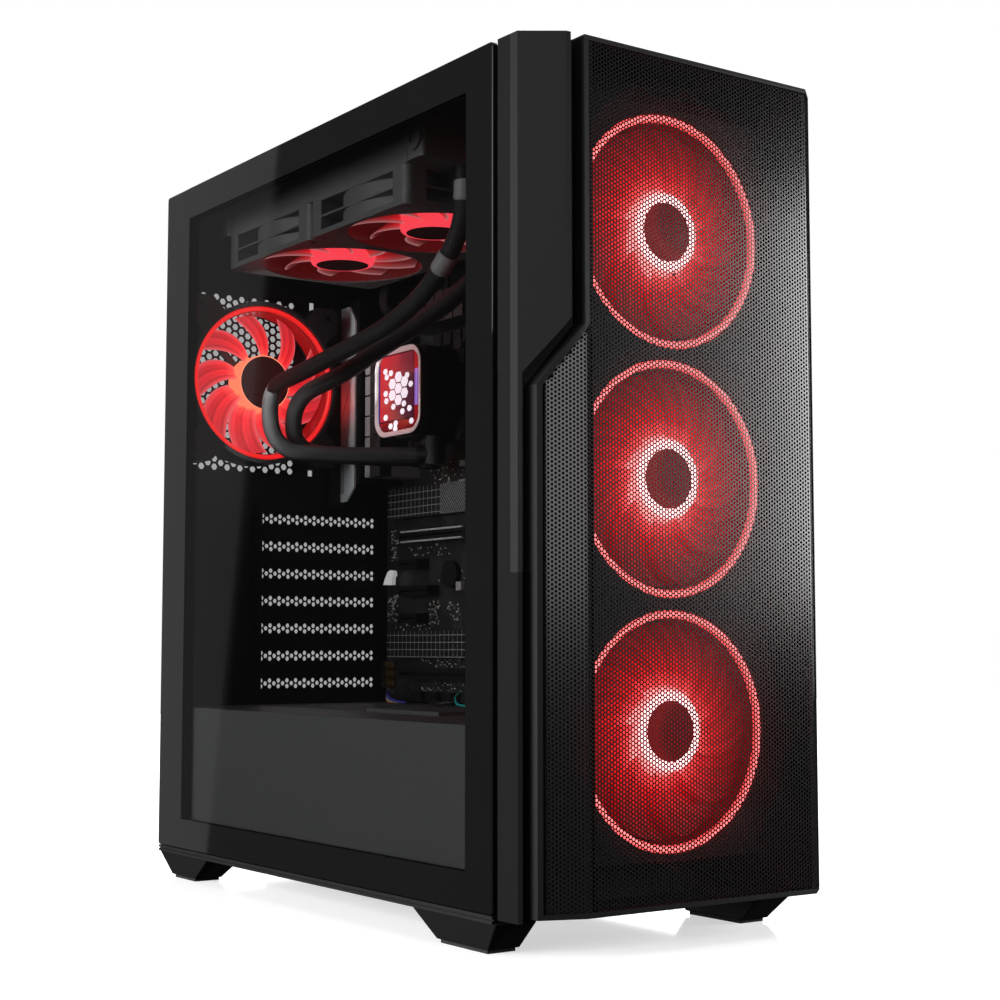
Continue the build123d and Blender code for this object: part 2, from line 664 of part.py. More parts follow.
def board_components():
    """Capacitors, chokes, the coin cell and the power headers."""
    parts = [rod((BOARD_FACE - 9, 202, 133.6 + 6.7 * k), (1, 0, 0), 9, 3.1) for k in range(3)]
    parts += [block((66, BOARD_FACE), (153, 162), (300 + 13 * k, 310 + 13 * k)) for k in range(6)]
    parts += [block((66, BOARD_FACE), (72 + 13 * k, 82 + 13 * k), (381.5, 391)) for k in range(5)]
    parts.append(rod((BOARD_FACE - 4, 120, 214), (1, 0, 0), 4, 10))
    parts.append(block((62, BOARD_FACE), (-31, -22), (300, 352)))
    parts.append(block((50, 62), (-31, -22), (301, 351)))
    parts.append(block((67, BOARD_FACE), (163, 181), (405, 417)))
    parts.append(block((62, 67), (164, 180), (405.5, 416.5)))
    parts += [block((66, BOARD_FACE), (150 - 20 * k, 164 - 20 * k), (122.5, 128)) for k in range(3)]
    return group(parts)


# Liquid cooling

def radiator_core():
    y = (RADIATOR_Y[0] + TANK_LENGTH, RADIATOR_Y[1] - TANK_LENGTH)
    core = block(RADIATOR_X, y, RADIATOR_Z)
    inner = (RADIATOR_X[0] + 4, RADIATOR_X[1] - 4)
    for z in ((RADIATOR_Z[0] - 1, RADIATOR_Z[0] + 4), (RADIATOR_Z[1] - 4, RADIATOR_Z[1] + 1)):
        core -= block(inner, (y[0] + 3, y[1] - 3), z)
    return core


def radiator_tanks():
    tanks = []
    for low in (RADIATOR_Y[0], RADIATOR_Y[1] - TANK_LENGTH):
        tank = block((RADIATOR_X[0] - 1, RADIATOR_X[1] + 1), (low, low + TANK_LENGTH), RADIATOR_Z)
        tanks.append(fillet(tank.edges().filter_by(Axis.Z), 3))
    plug = Plane(origin=(RADIATOR_X[0] - 1, -63.5, 470), z_dir=(-1, 0, 0))
    tanks[0] += extrude(plug * Circle(8.2), 1.6)
    tanks[0] -= extrude(plug.offset(0.4) * RegularPolygon(4.2, 6), 3)
    return group(tanks)


def fitting(route):
    """Collar on the tank, and the elbow under the pump, in line with the hose's last run."""
    start, before, end = (Vector(*route[k]) for k in (0, -2, -1))
    collar = rod(start, (0, 0, 1), RADIATOR_Z[0] - start.Z, COLLAR_RADIUS)
    way = (end - before).normalized()
    elbow = end + way * STUB_LENGTH
    foot = elbow.Z - ELBOW_RADIUS
    riser = rod((elbow.X, elbow.Y, foot), (0, 0, 1), CPU_Z - PUMP_SIZE[1] / 2 - foot, ELBOW_RADIUS)
    return [collar, riser + rod(end, way, STUB_LENGTH, STUB_RADIUS)]


def hose_fittings():
    return group(fitting(SUPPLY_ROUTE) + fitting(RETURN_ROUTE))


def pump_housing():
    housing = slab_x(PUMP_TOP, PLATE_TOP, (CPU_Y, CPU_Z), PUMP_SIZE, 13)
    for y in (-EAR_REACH, EAR_REACH):
        for z in (-EAR_REACH, EAR_REACH):
            across = sorted((CPU_Y + y * 0.62, CPU_Y + y))
            housing += block((56, 59), across, sorted((CPU_Z + z * 0.55, CPU_Z + z)))
            housing += rod((54, CPU_Y + y * 0.9, CPU_Z + z * 0.9), (1, 0, 0), BOARD_FACE - 54, 3.0)
    return housing


def pump_cap():
    cap = slab_x(CAP_TOP, PUMP_TOP, (CPU_Y, CPU_Z), (62, 66), 14)
    cap = fillet(cap.faces().sort_by(Axis.X)[0].edges(), 2.5)
    return cap - slab_x(CAP_TOP - 1, CAP_TOP + 0.6, (CPU_Y, CPU_Z), (50, 54), 10)


def cold_plate():
    return slab_x(PLATE_TOP, CHIP_TOP, (CPU_Y, CPU_Z), (54, 54), 4)


# Power supply

def psu_case():
    case = block(PSU_X, PSU_Y, PSU_Z)
    inner = [(low + SHEET, high - SHEET) for low, high in (PSU_X, PSU_Y, PSU_Z)]
    case -= block(*inner)
    x, y = PSU_FAN_CENTRE
    case -= rod((x, y, PSU_Z[0] - 1), (0, 0, 1), 3, PSU_FAN["bore"] / 2)
    spider = Pos(x, y, PSU_Z[0]) * fan_spider(PSU_FAN["bore"], PSU_FAN["hub"])
    for radius in (30.0, 42.0, 54.0):
        ring = rod((x, y, PSU_Z[0]), (0, 0, 1), 1.6, radius)
        spider += ring - rod((x, y, PSU_Z[0] - 1), (0, 0, 1), 4, radius - 1.6)
    case += spider
    for row in range(5):
        for column in range(7):
            z = PSU_Z[0] + 14 + 13 * row
            x = PSU_X[0] + 14 + 7.5 * column
            case -= block((x - 2.6, x + 2.6), (REAR_IN - 2, REAR_IN + 1), (z - 4.5, z + 4.5))
    case -= block(INLET_X, (REAR_IN - 2, REAR_IN + 1), INLET_Z)
    case -= block(ROCKER_X, (REAR_IN - 2, REAR_IN + 1), ROCKER_Z)
    return drilled_for_supply(case)


def psu_socket():
    """Inlet moulding: a power socket with three blades in its well, beside the rocker's case and pin."""
    def shrunk(span, depth):
        return (span[0] + depth, span[1] - depth)
    well = (REAR_IN - 17, REAR_IN + 3)
    flange = (REAR_IN, REAR_IN + 1.2)
    body = block(shrunk(INLET_X, 0.2), (198, REAR_IN), shrunk(INLET_Z, 0.2))
    body += block(shrunk(ROCKER_X, 0.2), (200, REAR_IN), shrunk(ROCKER_Z, 0.2))
    body += block((ROCKER_X[0] - 2, INLET_X[1] + 3), flange, shrunk(INLET_Z, -2))
    body -= block(shrunk(INLET_X, 3), well, shrunk(INLET_Z, 4))
    body -= block(shrunk(ROCKER_X, 1.6), well, shrunk(ROCKER_Z, 1.4))
    middle = (INLET_X[0] + INLET_X[1]) / 2
    for x, z in ((middle - 7, 69.5), (middle, 74.0), (middle + 7, 69.5)):
        body += block((x - 1, x + 1), (202, 216), (z - 2, z + 2))
    pin = (ROCKER_X[0] + 0.4, REAR_IN - 3, (ROCKER_Z[0] + ROCKER_Z[1]) / 2)
    return body + rod(pin, (1, 0, 0), ROCKER_X[1] - ROCKER_X[0] - 0.8, PIN_RADIUS)


def psu_switch():
    """Rocker with a bent face, on a pin across its case."""
    middle = (ROCKER_Z[0] + ROCKER_Z[1]) / 2
    deep = REAR_IN - 6
    face = [(REAR_IN + 2.2, middle + 6.8), (REAR_IN + 0.2, middle), (REAR_IN - 0.4, middle - 6.8),
            (deep, middle - 5), (deep, middle + 5)]
    plane = Plane(origin=(ROCKER_X[0] + 2, 0, 0), x_dir=(0, 1, 0), z_dir=(1, 0, 0))
    rocker = extrude(plane * outline_face(face), ROCKER_X[1] - ROCKER_X[0] - 4)
    return rocker - rod((ROCKER_X[0], deep + 3, middle), (1, 0, 0), 20, PIN_RADIUS + SHAFT_CLEARANCE)


# Side panels and filters

def glass_pane():
    return block((-HALF_WIDTH, -HALF_WIDTH + GLASS_THICK), GLASS_Y, GLASS_Z)


def glass_rails():
    outer = -HALF_WIDTH + GLASS_THICK
    y = (GLASS_Y[0] + 1, GLASS_Y[1] - 1.5)
    z = (GLASS_Z[0] + 2, GLASS_Z[1] - 2)
    rails = block((outer, outer + RAIL_THICK), y, z)
    window = [(low - 1, high + 1) for low, high in (WINDOW_Y, WINDOW_Z)]
    rails -= block((outer - 1, outer + 5), *window)
    for y, z in STUD_PLACES:
        rails += rod((outer, y, z), (1, 0, 0), RAIL_THICK + STUD_LENGTH, STUD_RADIUS)
    return rails


def right_panel():
    outer = (HALF_WIDTH - SHEET, HALF_WIDTH)
    y = (CHASSIS_FRONT, REAR_OUT + 1.2)
    z = (BASE_Z + 0.6, BODY_TOP)
    inner = RIGHT_EDGE + PANEL_GAP
    panel = block(outer, y, z)
    panel += block((inner, HALF_WIDTH), y, (z[1] - SHEET, z[1]))
    panel += block((inner, HALF_WIDTH), y, (z[0], z[0] + SHEET))
    panel += block((92, HALF_WIDTH), (REAR_OUT + 0.2, REAR_OUT + 1.2), z)
    for x, z in THUMB_PLACES:
        panel -= rod((x, REAR_IN, z), (0, 1, 0), 6, THUMB_HOLE)
    return panel


def right_thumbscrews():
    seat = REAR_OUT + 1.2
    screws = []
    for x, z in THUMB_PLACES:
        head = rod((x, seat, z), (0, 1, 0), HALF_DEPTH - seat, THUMB_HEAD)
        for k in range(16):
            turn = 2 * pi * k / 16
            notch = (x + THUMB_HEAD * cos(turn), seat + 1.2, z + THUMB_HEAD * sin(turn))
            head -= rod(notch, (0, 1, 0), 6, 0.55)
        screws.append(head + rod((x, seat, z), (0, -1, 0), 6, THUMB_SHANK))
    return group(screws)


def top_filter():
    x = (RECESS_X[0] + 1.4, RECESS_X[1] - 1.4)
    y = (RECESS_Y[0] + 1.4, RECESS_Y[1] - 1.4)
    low = RECESS_UNDER + SHEET
    frame = block(x, y, (low, BODY_TOP - 0.2))
    frame -= block((x[0] + 7, x[1] - 7), (y[0] + 7, y[1] - 7), (low - 1, BODY_TOP))
    return frame + block((x[0] + 6, x[1] - 6), (y[0] + 6, y[1] - 6), (low + 0.6, low + 1.2))


def psu_filter():
    x = (-62.6, 73.6)
    y = (78.0, 219.0)
    z = (13.6, 16.8)
    frame = block(x, y, z)
    frame -= block((x[0] + 8, x[1] - 8), (y[0] + 6, y[1] - 6), (z[0] - 1, z[1] + 1))
    frame += block((x[0] + 7, x[1] - 7), (y[0] + 5, y[1] - 5), (14.6, 15.2))
    return frame + block((-20, 31), (219, 225), (12.0, 17.0))


# Front panel

def slant_cut(left, level):
    """Room above the slanted edge: everything left of a line and over the slope through it."""
    reach = 40.0
    low = level - reach * SLANT_RISE
    return prism_y([(left - reach, low), (left, level), (left, 600), (left - reach, 600)], -235, -185)


def front_pillar():
    plan = [(-103.0, FRAME_BACK), (-103.0, PILLAR_GAP_Y), (-106.0, PILLAR_GAP_Y), (-105.3, -211.1),
            (-84.0, -226.0), (-81.0, -226.3), (-80.5, -224.5), (-80.5, -212.0), (-97.0, FRAME_BACK)]
    pillar = prism_z(plan, PILLAR_BOTTOM, BODY_TOP)
    corner = (-80.0, 335.7)
    low = (-103.2, corner[1] - 23.2 * SLANT_RISE)
    return pillar - prism_y([(low[0], 0), low, corner, (-70, corner[1]), (-70, 0)], -235, -185)


def front_frame():
    skin = FRAME_SKIN + [(FRAME_SIDE, -213.2), (FRAME_SIDE, FRAME_BACK)]
    first = (FRAME_SKIN[0][0], FRAME_BACK)
    body = prism_z([first] + skin, FRAME_BOTTOM, BODY_TOP)
    body -= slant_cut(FRAME_SKIN[1][0], 331.8)
    cavity = inset([first] + skin, FRAME_WALL)
    cavity = [(cavity[0][0], FRAME_BACK + 5)] + cavity[1:-1] + [(cavity[-1][0], FRAME_BACK + 5)]
    room = prism_z(cavity, FRAME_BOTTOM + FRAME_WALL, BODY_TOP - FRAME_WALL)
    body -= room - slant_cut(FRAME_SKIN[1][0] + FRAME_WALL, 332.0)
    opening = [(MESH_LEFT_LOW, MESH_Z[0]), (88.5, MESH_Z[0]), (88.5, MESH_Z[1]),
               (MESH_LEFT_HIGH, MESH_Z[1]), (MESH_LEFT_HIGH, SLANT_HIGH), (MESH_LEFT_LOW, SLANT_LOW)]
    body -= prism_y(opening, -235, -214)
    body -= mesh_sheet(MESH_SUNK - 1, MESH_SUNK + MESH_THICK + MESH_ROOM, MESH_ROOM)
    floor = [(-104.0, -204.0), (-72.0, -217.0), (-64.0, -217.0), (-64.0, -214.6), (-72.0, -214.0),
             (-104.0, -200.0)]
    body += prism_z(floor, FRAME_BOTTOM, BODY_TOP)
    body += front_pillar()
    for x, z in CLIP_PLACES:
        edge = FRAME_BOTTOM if z < 100 else BODY_TOP
        body += block((x - 4.5, x + 4.5), (-204, FRAME_BACK), sorted((edge, z + (6 if z < 100 else -6))))
        body += rod((x, FRAME_BACK, z), (0, 1, 0), 14, CLIP_RADIUS)
    return body


def mesh_sheet(near, far, room):
    """Bent sheet between two depths under the front skin, cut off along the slanted edge."""
    left = MESH_LEFT_LOW - room
    start = (left, FRAME_SKIN[0][1] - (left - FRAME_SKIN[0][0]) * 9.5 / 25.0)
    bend, corner = (Vector(*FRAME_SKIN[k]) for k in (2, 3))
    end = corner + (bend - corner).normalized() * (1.2 - room)
    path = [start] + FRAME_SKIN[1:3] + [(end.X, end.Y)]
    plan = inset(path, near) + inset(path, far)[::-1]
    sheet = prism_z(plan, MESH_Z[0] - room, MESH_Z[1] + room)
    return sheet - slant_cut(MESH_LEFT_HIGH - room, SLANT_HIGH + room)


def front_mesh():
    return mesh_sheet(MESH_SUNK, MESH_SUNK + MESH_THICK, -MESH_ROOM)


# Build and write every node

parts = {
    "base_pan": base_pan(),
    "rear_panel": rear_panel(),
    "roof_frame": roof_frame(),
    "fan_wall": fan_wall(),
    "motherboard_tray": motherboard_tray(),
    "cable_plate": cable_plate(),
    "cable_grommets": cable_grommets(),
    "psu_shroud": psu_shroud(),
    "slot_covers": slot_covers(),
    "case_screws": case_screws(),
    "feet": feet(),
    "foot_pads": foot_pads(),
    "top_io_panel": top_io_panel(),
    "top_io_sockets": top_io_sockets(),
    "power_button": push_button(POWER_X, POWER_RADIUS),
    "reset_button": push_button(RESET_X, RESET_RADIUS),
    "motherboard": motherboard(),
    "board_standoffs": board_standoffs(),
    "io_cover": io_cover(),
    "rear_io_ports": rear_io_ports(),
    "board_heatsinks": board_heatsinks(),
    "cpu_socket": cpu_socket(),
    "processor": processor(),
    "memory_slots": memory_slots(),
    "memory_modules": memory_modules(),
    "expansion_slots": expansion_slots(),
    "nvme_drives": nvme_drives(),
    "m2_heatsinks": m2_heatsinks(),
    "board_components": board_components(),
    "power_cables": group([hose(ATX_ROUTE, CABLE_DIAMETER, "board cable"),
                           hose(EPS_ROUTE, CABLE_DIAMETER, "processor cable")]),
    "radiator_core": radiator_core(),
    "radiator_tanks": radiator_tanks(),
    "supply_hose": hose(SUPPLY_ROUTE, HOSE_DIAMETER, "supply hose"),
    "return_hose": hose(RETURN_ROUTE, HOSE_DIAMETER, "return hose"),
    "hose_fittings": hose_fittings(),
    "pump_housing": pump_housing(),
    "pump_cap": pump_cap(),
    "cold_plate": cold_plate(),
    "psu_case": psu_case(),
    "psu_socket": psu_socket(),
    "psu_switch": psu_switch(),
    "psu_fan_rotor": Pos(*PSU_FAN_CENTRE, PSU_Z[0]) * fan_rotor(**PSU_FAN),
    "glass_pane": glass_pane(),
    "glass_rails": glass_rails(),
    "right_panel": right_panel(),
    "right_thumbscrews": right_thumbscrews(),
    "top_filter": top_filter(),
    "psu_filter": psu_filter(),
    "front_frame": front_frame(),
    "front_mesh": front_mesh(),
}

front_rotor = fan_rotor(**FRONT_FAN)
front_frame_solid = fan_frame(**FRONT_FAN)
front_ring = fan_ring(**FRONT_FAN)
rear_ring = fan_ring(**REAR_FAN)
levels = {"bottom": -1, "middle": 0, "top": 1}
for name, level in levels.items():
    parts[f"front_fan_{name}_rotor"] = front_fan_place(level) * front_rotor
parts["front_fan_frames"] = group([front_fan_place(level) * front_frame_solid for level in levels.values()])
parts["fan_light_rings"] = group([front_fan_place(level) * front_ring for level in levels.values()]
                                 + [rear_fan_place() * rear_ring])
parts["rear_fan_frame"] = rear_fan_place() * fan_frame(**REAR_FAN)
parts["rear_fan_rotor"] = rear_fan_place() * fan_rotor(**REAR_FAN)
radiator_rotor = fan_rotor(**RADIATOR_FAN)
radiator_frame_solid = fan_frame(**RADIATOR_FAN)
for name, y in zip(("front", "rear"), RADIATOR_FAN_Y):
    parts[f"radiator_fan_{name}_rotor"] = radiator_fan_place(y) * radiator_rotor
parts["radiator_fan_frames"] = group([radiator_fan_place(y) * radiator_frame_solid for y in RADIATOR_FAN_Y])

os.makedirs("parts", exist_ok=True)
for name, shape in parts.items():
    export_step(shape, f"parts/{name}.step")
print(f"{len(parts)} nodes written")
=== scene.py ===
# %% [markdown]
# A desktop tower with a glass side. The CAD model fixes every size and place, and this file
# dresses it: a perforated front sheet, lit fans, braided hoses, printed glass and a busy main
# board. Each step below first says what a piece is on the real object and how it is made here.

from math import cos, pi, radians, sin, sqrt

import bmesh
import bpy
import numpy as np
from mathutils import Matrix, Vector


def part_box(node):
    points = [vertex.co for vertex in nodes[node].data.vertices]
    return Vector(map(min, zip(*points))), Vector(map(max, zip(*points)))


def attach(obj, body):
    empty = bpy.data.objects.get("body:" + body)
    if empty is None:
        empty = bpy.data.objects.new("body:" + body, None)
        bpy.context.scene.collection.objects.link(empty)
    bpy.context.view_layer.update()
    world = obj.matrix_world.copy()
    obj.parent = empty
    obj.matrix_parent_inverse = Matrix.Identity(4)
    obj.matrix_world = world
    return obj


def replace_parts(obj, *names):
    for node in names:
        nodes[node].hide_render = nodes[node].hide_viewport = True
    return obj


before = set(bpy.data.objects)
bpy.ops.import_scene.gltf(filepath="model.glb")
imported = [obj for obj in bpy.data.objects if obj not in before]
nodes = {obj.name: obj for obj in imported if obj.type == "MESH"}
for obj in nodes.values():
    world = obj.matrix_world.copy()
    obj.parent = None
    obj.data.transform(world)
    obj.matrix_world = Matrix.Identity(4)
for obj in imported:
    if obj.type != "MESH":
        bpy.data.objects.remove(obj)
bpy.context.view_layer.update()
MM = 0.001

# %% [markdown]
# The camera was solved from the photograph's straight edges: the tower is seen from its front
# left corner, a little from below. A camera could be aimed with a Track To constraint, but a
# solved one is exact only as a matrix, so its right, up and back axes are written into it.

# %% Camera
YAW, PITCH = radians(35.127), radians(4.723)
EYE = Vector((-0.64035, -0.95582, 0.16164))
FOCAL_PIXELS = 1772.16
IMAGE_PIXELS = 1000

ahead = Vector((sin(YAW) * cos(PITCH), cos(YAW) * cos(PITCH), sin(PITCH)))
right = Vector((cos(YAW), -sin(YAW), 0))
up = right.cross(ahead)
camera = bpy.data.objects.new("camera", bpy.data.cameras.new("camera"))
camera.data.sensor_width = 36
camera.data.lens = 36 * FOCAL_PIXELS / IMAGE_PIXELS
camera.data.clip_start = 0.01
turn = Matrix((right, up, -ahead)).transposed().to_4x4()
camera.matrix_world = Matrix.Translation(EYE) @ turn
bpy.context.collection.objects.link(camera)
bpy.context.scene.camera = camera
print("camera at", tuple(round(v, 3) for v in EYE), "lens", round(camera.data.lens, 1))

# %% [markdown]
# Finishes are node trees. Wiring them by hand hides the maths, so a small class wraps a socket
# and lets Python's own operators add the Math nodes: `1 - mask * 0.5` reads as it works. All
# other nodes come from one method, which takes the node's type, its settings and its inputs.

# %% A socket that does arithmetic
def operator(operation, swapped=False):
    """Method that adds a Math node for a signal and another value, in this or in swapped order."""
    def method(self, other):
        first, second = (other, self) if swapped else (self, other)
        return self.finish.node("ShaderNodeMath", {"operation": operation}, {0: first, 1: second})
    return method


class Signal:
    """The output of a node, ready for + - * / ** % and comparisons with numbers or other signals."""

    def __init__(self, finish, socket):
        self.finish = finish
        self.socket = socket

    def math(self, operation, *others):
        inputs = dict(enumerate((self,) + others))
        return self.finish.node("ShaderNodeMath", {"operation": operation}, inputs)

    def __abs__(self):
        return self.math("ABSOLUTE")

    __add__ = __radd__ = operator("ADD")
    __sub__, __rsub__ = operator("SUBTRACT"), operator("SUBTRACT", swapped=True)
    __mul__ = __rmul__ = operator("MULTIPLY")
    __truediv__, __rtruediv__ = operator("DIVIDE"), operator("DIVIDE", swapped=True)
    __pow__, __mod__ = operator("POWER"), operator("FLOORED_MODULO")
    __lt__, __gt__ = operator("LESS_THAN"), operator("GREATER_THAN")


# %% A finish and its nodes
class Finish:
    """One material: a Principled shader with fixed values, and nodes for what varies over the surface."""

    def __init__(self, name, fixed):
        self.material = bpy.data.materials.new(name)
        self.material.use_nodes = True
        self.tree = self.material.node_tree
        self.shader = self.tree.nodes["Principled BSDF"]
        for socket, value in fixed.items():
            self.shader.inputs[socket].default_value = value

    def node(self, kind, settings, inputs, out=0):
        made = self.tree.nodes.new(kind)
        for key, value in settings.items():
            if key == "stops":
                self.fill_ramp(made.color_ramp.elements, value)
            else:
                setattr(made, key, value)
        for key, value in inputs.items():
            self.join(made.inputs[key], value)
        return Signal(self, made.outputs[out])

    def fill_ramp(self, elements, stops):
        while len(elements) < len(stops):
            elements.new(1.0)
        for element, (place, colour) in zip(elements, stops):
            element.position = place
            element.color = (*colour, 1.0)

    def join(self, socket, value):
        if isinstance(value, Signal):
            self.tree.links.new(value.socket, socket)
        else:
            socket.default_value = value

    def feed(self, socket, value):
        self.join(self.shader.inputs[socket], value)

    def place(self):
        """The three Object coordinates, in millimetres."""
        where = self.node("ShaderNodeTexCoord", {}, {}, "Object")
        split = self.node("ShaderNodeSeparateXYZ", {}, {0: where}).socket.node
        return [Signal(self, split.outputs[k]) * 1000 for k in range(3)]

    def noise(self, grain):
        """Soft noise from 0 to 1 whose lumps are about grain millimetres wide."""
        where = self.node("ShaderNodeTexCoord", {}, {}, "Object")
        return self.node("ShaderNodeTexNoise", {}, {"Vector": where, "Scale": 1000 / grain, "Detail": 2.0})

    def attribute(self, name):
        return self.node("ShaderNodeAttribute", {"attribute_name": name}, {}, "Fac")

    def mix(self, factor, low, high):
        """Colour between low and high."""
        low, high = (c if isinstance(c, Signal) else (*c, 1.0) for c in (low, high))
        return self.node("ShaderNodeMix", {"data_type": "RGBA"}, {0: factor, 6: low, 7: high}, 2)

    def paint(self, factor, low, high):
        """Base colour between low and high."""
        self.feed("Base Color", self.mix(factor, low, high))

    def within(self, first, second, low, high):
        """1 where two signals lie between the corners of a rectangle, else 0."""
        return (first > low[0]) * (first < high[0]) * (second > low[1]) * (second < high[1])

    def ramp(self, value, stops):
        return self.node("ShaderNodeValToRGB", {"stops": stops}, {0: value})

    def relief(self, height, depth):
        """Bump of a height signal, with depth in millimetres, fed to Normal."""
        self.feed("Normal", self.node("ShaderNodeBump", {}, {"Height": height, "Distance": depth * MM}))


# %% [markdown]
# Pieces are arrays first. A grid of points becomes quads between neighbours, several grids are
# stacked into one mesh, and `make` hands the arrays to Blender in one go. Building each face
# with operators would also work, but it is slow and leaves the formula out of sight.

# %% From arrays to an object
def grid(points, close_rows=False, close_columns=False):
    """Quads between neighbouring points of a (rows, columns, 3) array, closed round if asked."""
    rows, columns = points.shape[:2]
    index = np.arange(rows * columns).reshape(rows, columns)
    if close_rows:
        index = np.vstack([index, index[:1]])
    if close_columns:
        index = np.hstack([index, index[:, :1]])
    corners = index[:-1, :-1], index[1:, :-1], index[1:, 1:], index[:-1, 1:]
    return points.reshape(-1, 3), np.stack(corners, -1).reshape(-1, 4)


def stacked(parts):
    """Several (points, faces) pairs as one, each part's face numbers moved past the points before it."""
    counts = np.cumsum([0] + [len(points) for points, _ in parts[:-1]])
    faces = [face + count for (_, face), count in zip(parts, counts)]
    return np.vstack([points for points, _ in parts]), faces


def settled(name, mesh, finish, body, sharp):
    """Object of a finished mesh, smooth up to an edge angle, on its body and with its slot."""
    mesh.shade_smooth()
    mesh.set_sharp_from_angle(angle=radians(sharp))
    mesh.materials.append(finish.material)
    made = bpy.data.objects.new(name, mesh)
    bpy.context.collection.objects.link(made)
    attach(made, body)
    return made


def make(name, parts, finish, body, sharp=32, layers={}, uv=None):
    """Mesh object from (points, faces) pairs; faces of a pair all have the same number of corners."""
    points, faces = stacked(parts)
    sizes = np.concatenate([np.full(len(face), face.shape[1]) for face in faces])
    corners = np.concatenate([face.ravel() for face in faces])
    mesh = bpy.data.meshes.new(name)
    mesh.vertices.add(len(points))
    mesh.vertices.foreach_set("co", points.astype(np.float32).ravel())
    mesh.loops.add(len(corners))
    mesh.loops.foreach_set("vertex_index", corners.astype(np.int32))
    mesh.polygons.add(len(sizes))
    mesh.polygons.foreach_set("loop_start", (np.cumsum(sizes) - sizes).astype(np.int32))
    mesh.update(calc_edges=True)
    mesh.validate()
    for layer, values in layers.items():
        made = mesh.attributes.new(layer, "FLOAT", "POINT")
        made.data.foreach_set("value", np.asarray(values, np.float32))
    if uv is not None:
        mesh.uv_layers.new(name="OFBake").data.foreach_set("uv", uv.astype(np.float32).ravel())
    return settled(name, mesh, finish, body, sharp)


# %% [markdown]
# Two braided hoses run from the radiator, down behind the glass and round to the pump, and two
# sleeved leads feed the board. A smooth NURBS spline carries the route's points, and a round
# profile follows the spline. A bevelled curve would give the same tube, but not the map that a
# braid needs: how far round, and how far along.

# %% Hose routes
ROUTES = {
    "supply_braid": [
        (-38.5, -62.5, 449.0), (-38.5, -62.5, 428.0), (-39.5, -50.0, 407.7), (-40.5, -30.0, 391.0),
        (-41.0, -6.0, 379.0), (-44.0, 25.0, 367.7), (-50.0, 64.4, 359.5), (-55.0, 111.6, 350.5),
        (-52.0, 170.0, 346.0), (-44.0, 176.0, 302.0), (-8.0, 152.0, 299.0), (19.0, 124.5, 297.8),
        (35.8, 106.3, 298.0)],
    "return_braid": [
        (-3.0, -62.5, 449.0), (-3.0, -62.5, 428.0), (-4.0, -46.0, 408.0), (-8.0, -14.4, 390.8),
        (-14.0, 28.6, 375.3), (-22.0, 71.8, 361.0), (-28.0, 109.0, 349.0), (-33.0, 166.0, 340.0),
        (-25.0, 181.0, 304.0), (8.0, 163.0, 300.0), (28.0, 144.0, 298.5), (44.9, 127.8, 298.0)],
    "board_lead": [
        (50.0, -26.5, 326.0), (38.0, -26.5, 326.0), (27.0, -36.0, 326.0), (29.0, -51.0, 325.0),
        (45.0, -56.5, 324.0), (66.0, -55.0, 323.5), (87.0, -53.0, 324.0)],
    "processor_lead": [
        (62.0, 172.0, 411.0), (47.0, 172.0, 411.0), (47.0, 171.5, 431.0), (66.0, 170.8, 434.0),
        (86.0, 170.0, 436.0)],
    "black_wire_1": [
        (66, 129, 126.5), (58, 126, 123), (55, 118, 120.3), (55, 106, 120.3), (60, 100, 124),
        (67, 104, 127)],
    "black_wire_2": [
        (66, 124, 126.5), (59, 122, 124), (56, 114, 121.6), (57, 104, 121), (62, 98, 122.5),
        (67, 99, 126)],
    "teal_wire": [(67, 99.5, 128.5), (61, 96.5, 126.8), (57, 90, 122.5), (55, 83, 120.2), (57, 66, 120)],
}
for k in range(5):
    ROUTES[f"audio_wire_{k}"] = [
        (68, 195.8, 126.8 - 1.3 * k), (62, 191, 127.2 - 1.2 * k), (58, 183, 126 - 1.2 * k),
        (56, 174 + k, 121.5 - 0.3 * k), (60, 160 + k, 120.4)]
HOSE_RADIUS, LEAD_RADIUS = 6.0, 4.5
print(len(ROUTES), "routes")


def spline_points(name):
    """Points along the NURBS spline whose control points are a route's points."""
    curve = bpy.data.curves.new(name, "CURVE")
    curve.dimensions = "3D"
    spline = curve.splines.new("NURBS")
    spline.points.add(len(ROUTES[name]) - 1)
    for point, place in zip(spline.points, ROUTES[name]):
        point.co = (*(v * MM for v in place), 1)
    spline.order_u = 3
    spline.use_endpoint_u = True
    spline.resolution_u = 16
    carrier = bpy.data.objects.new(name, curve)
    line = bpy.data.meshes.new_from_object(carrier)
    path = np.array([vertex.co for vertex in line.vertices])
    bpy.data.objects.remove(carrier)
    return path


def tube_along(path, radius, around=28):
    """Rings of a given radius square to the path: point + r (cos a n + sin a b), n and b across it."""
    way = np.gradient(path, axis=0)
    way /= np.linalg.norm(way, axis=1, keepdims=True)
    across = np.cross(way, (1.0, 0.0, 0.0))
    across /= np.linalg.norm(across, axis=1, keepdims=True)
    other = np.cross(way, across)
    angle = np.linspace(0, 2 * pi, around, endpoint=False)[None, :, None]
    return path[:, None] + radius * (np.cos(angle) * across[:, None] + np.sin(angle) * other[:, None])


def length_along(path):
    return np.concatenate([[0], np.cumsum(np.linalg.norm(np.diff(path, axis=0), axis=1))])
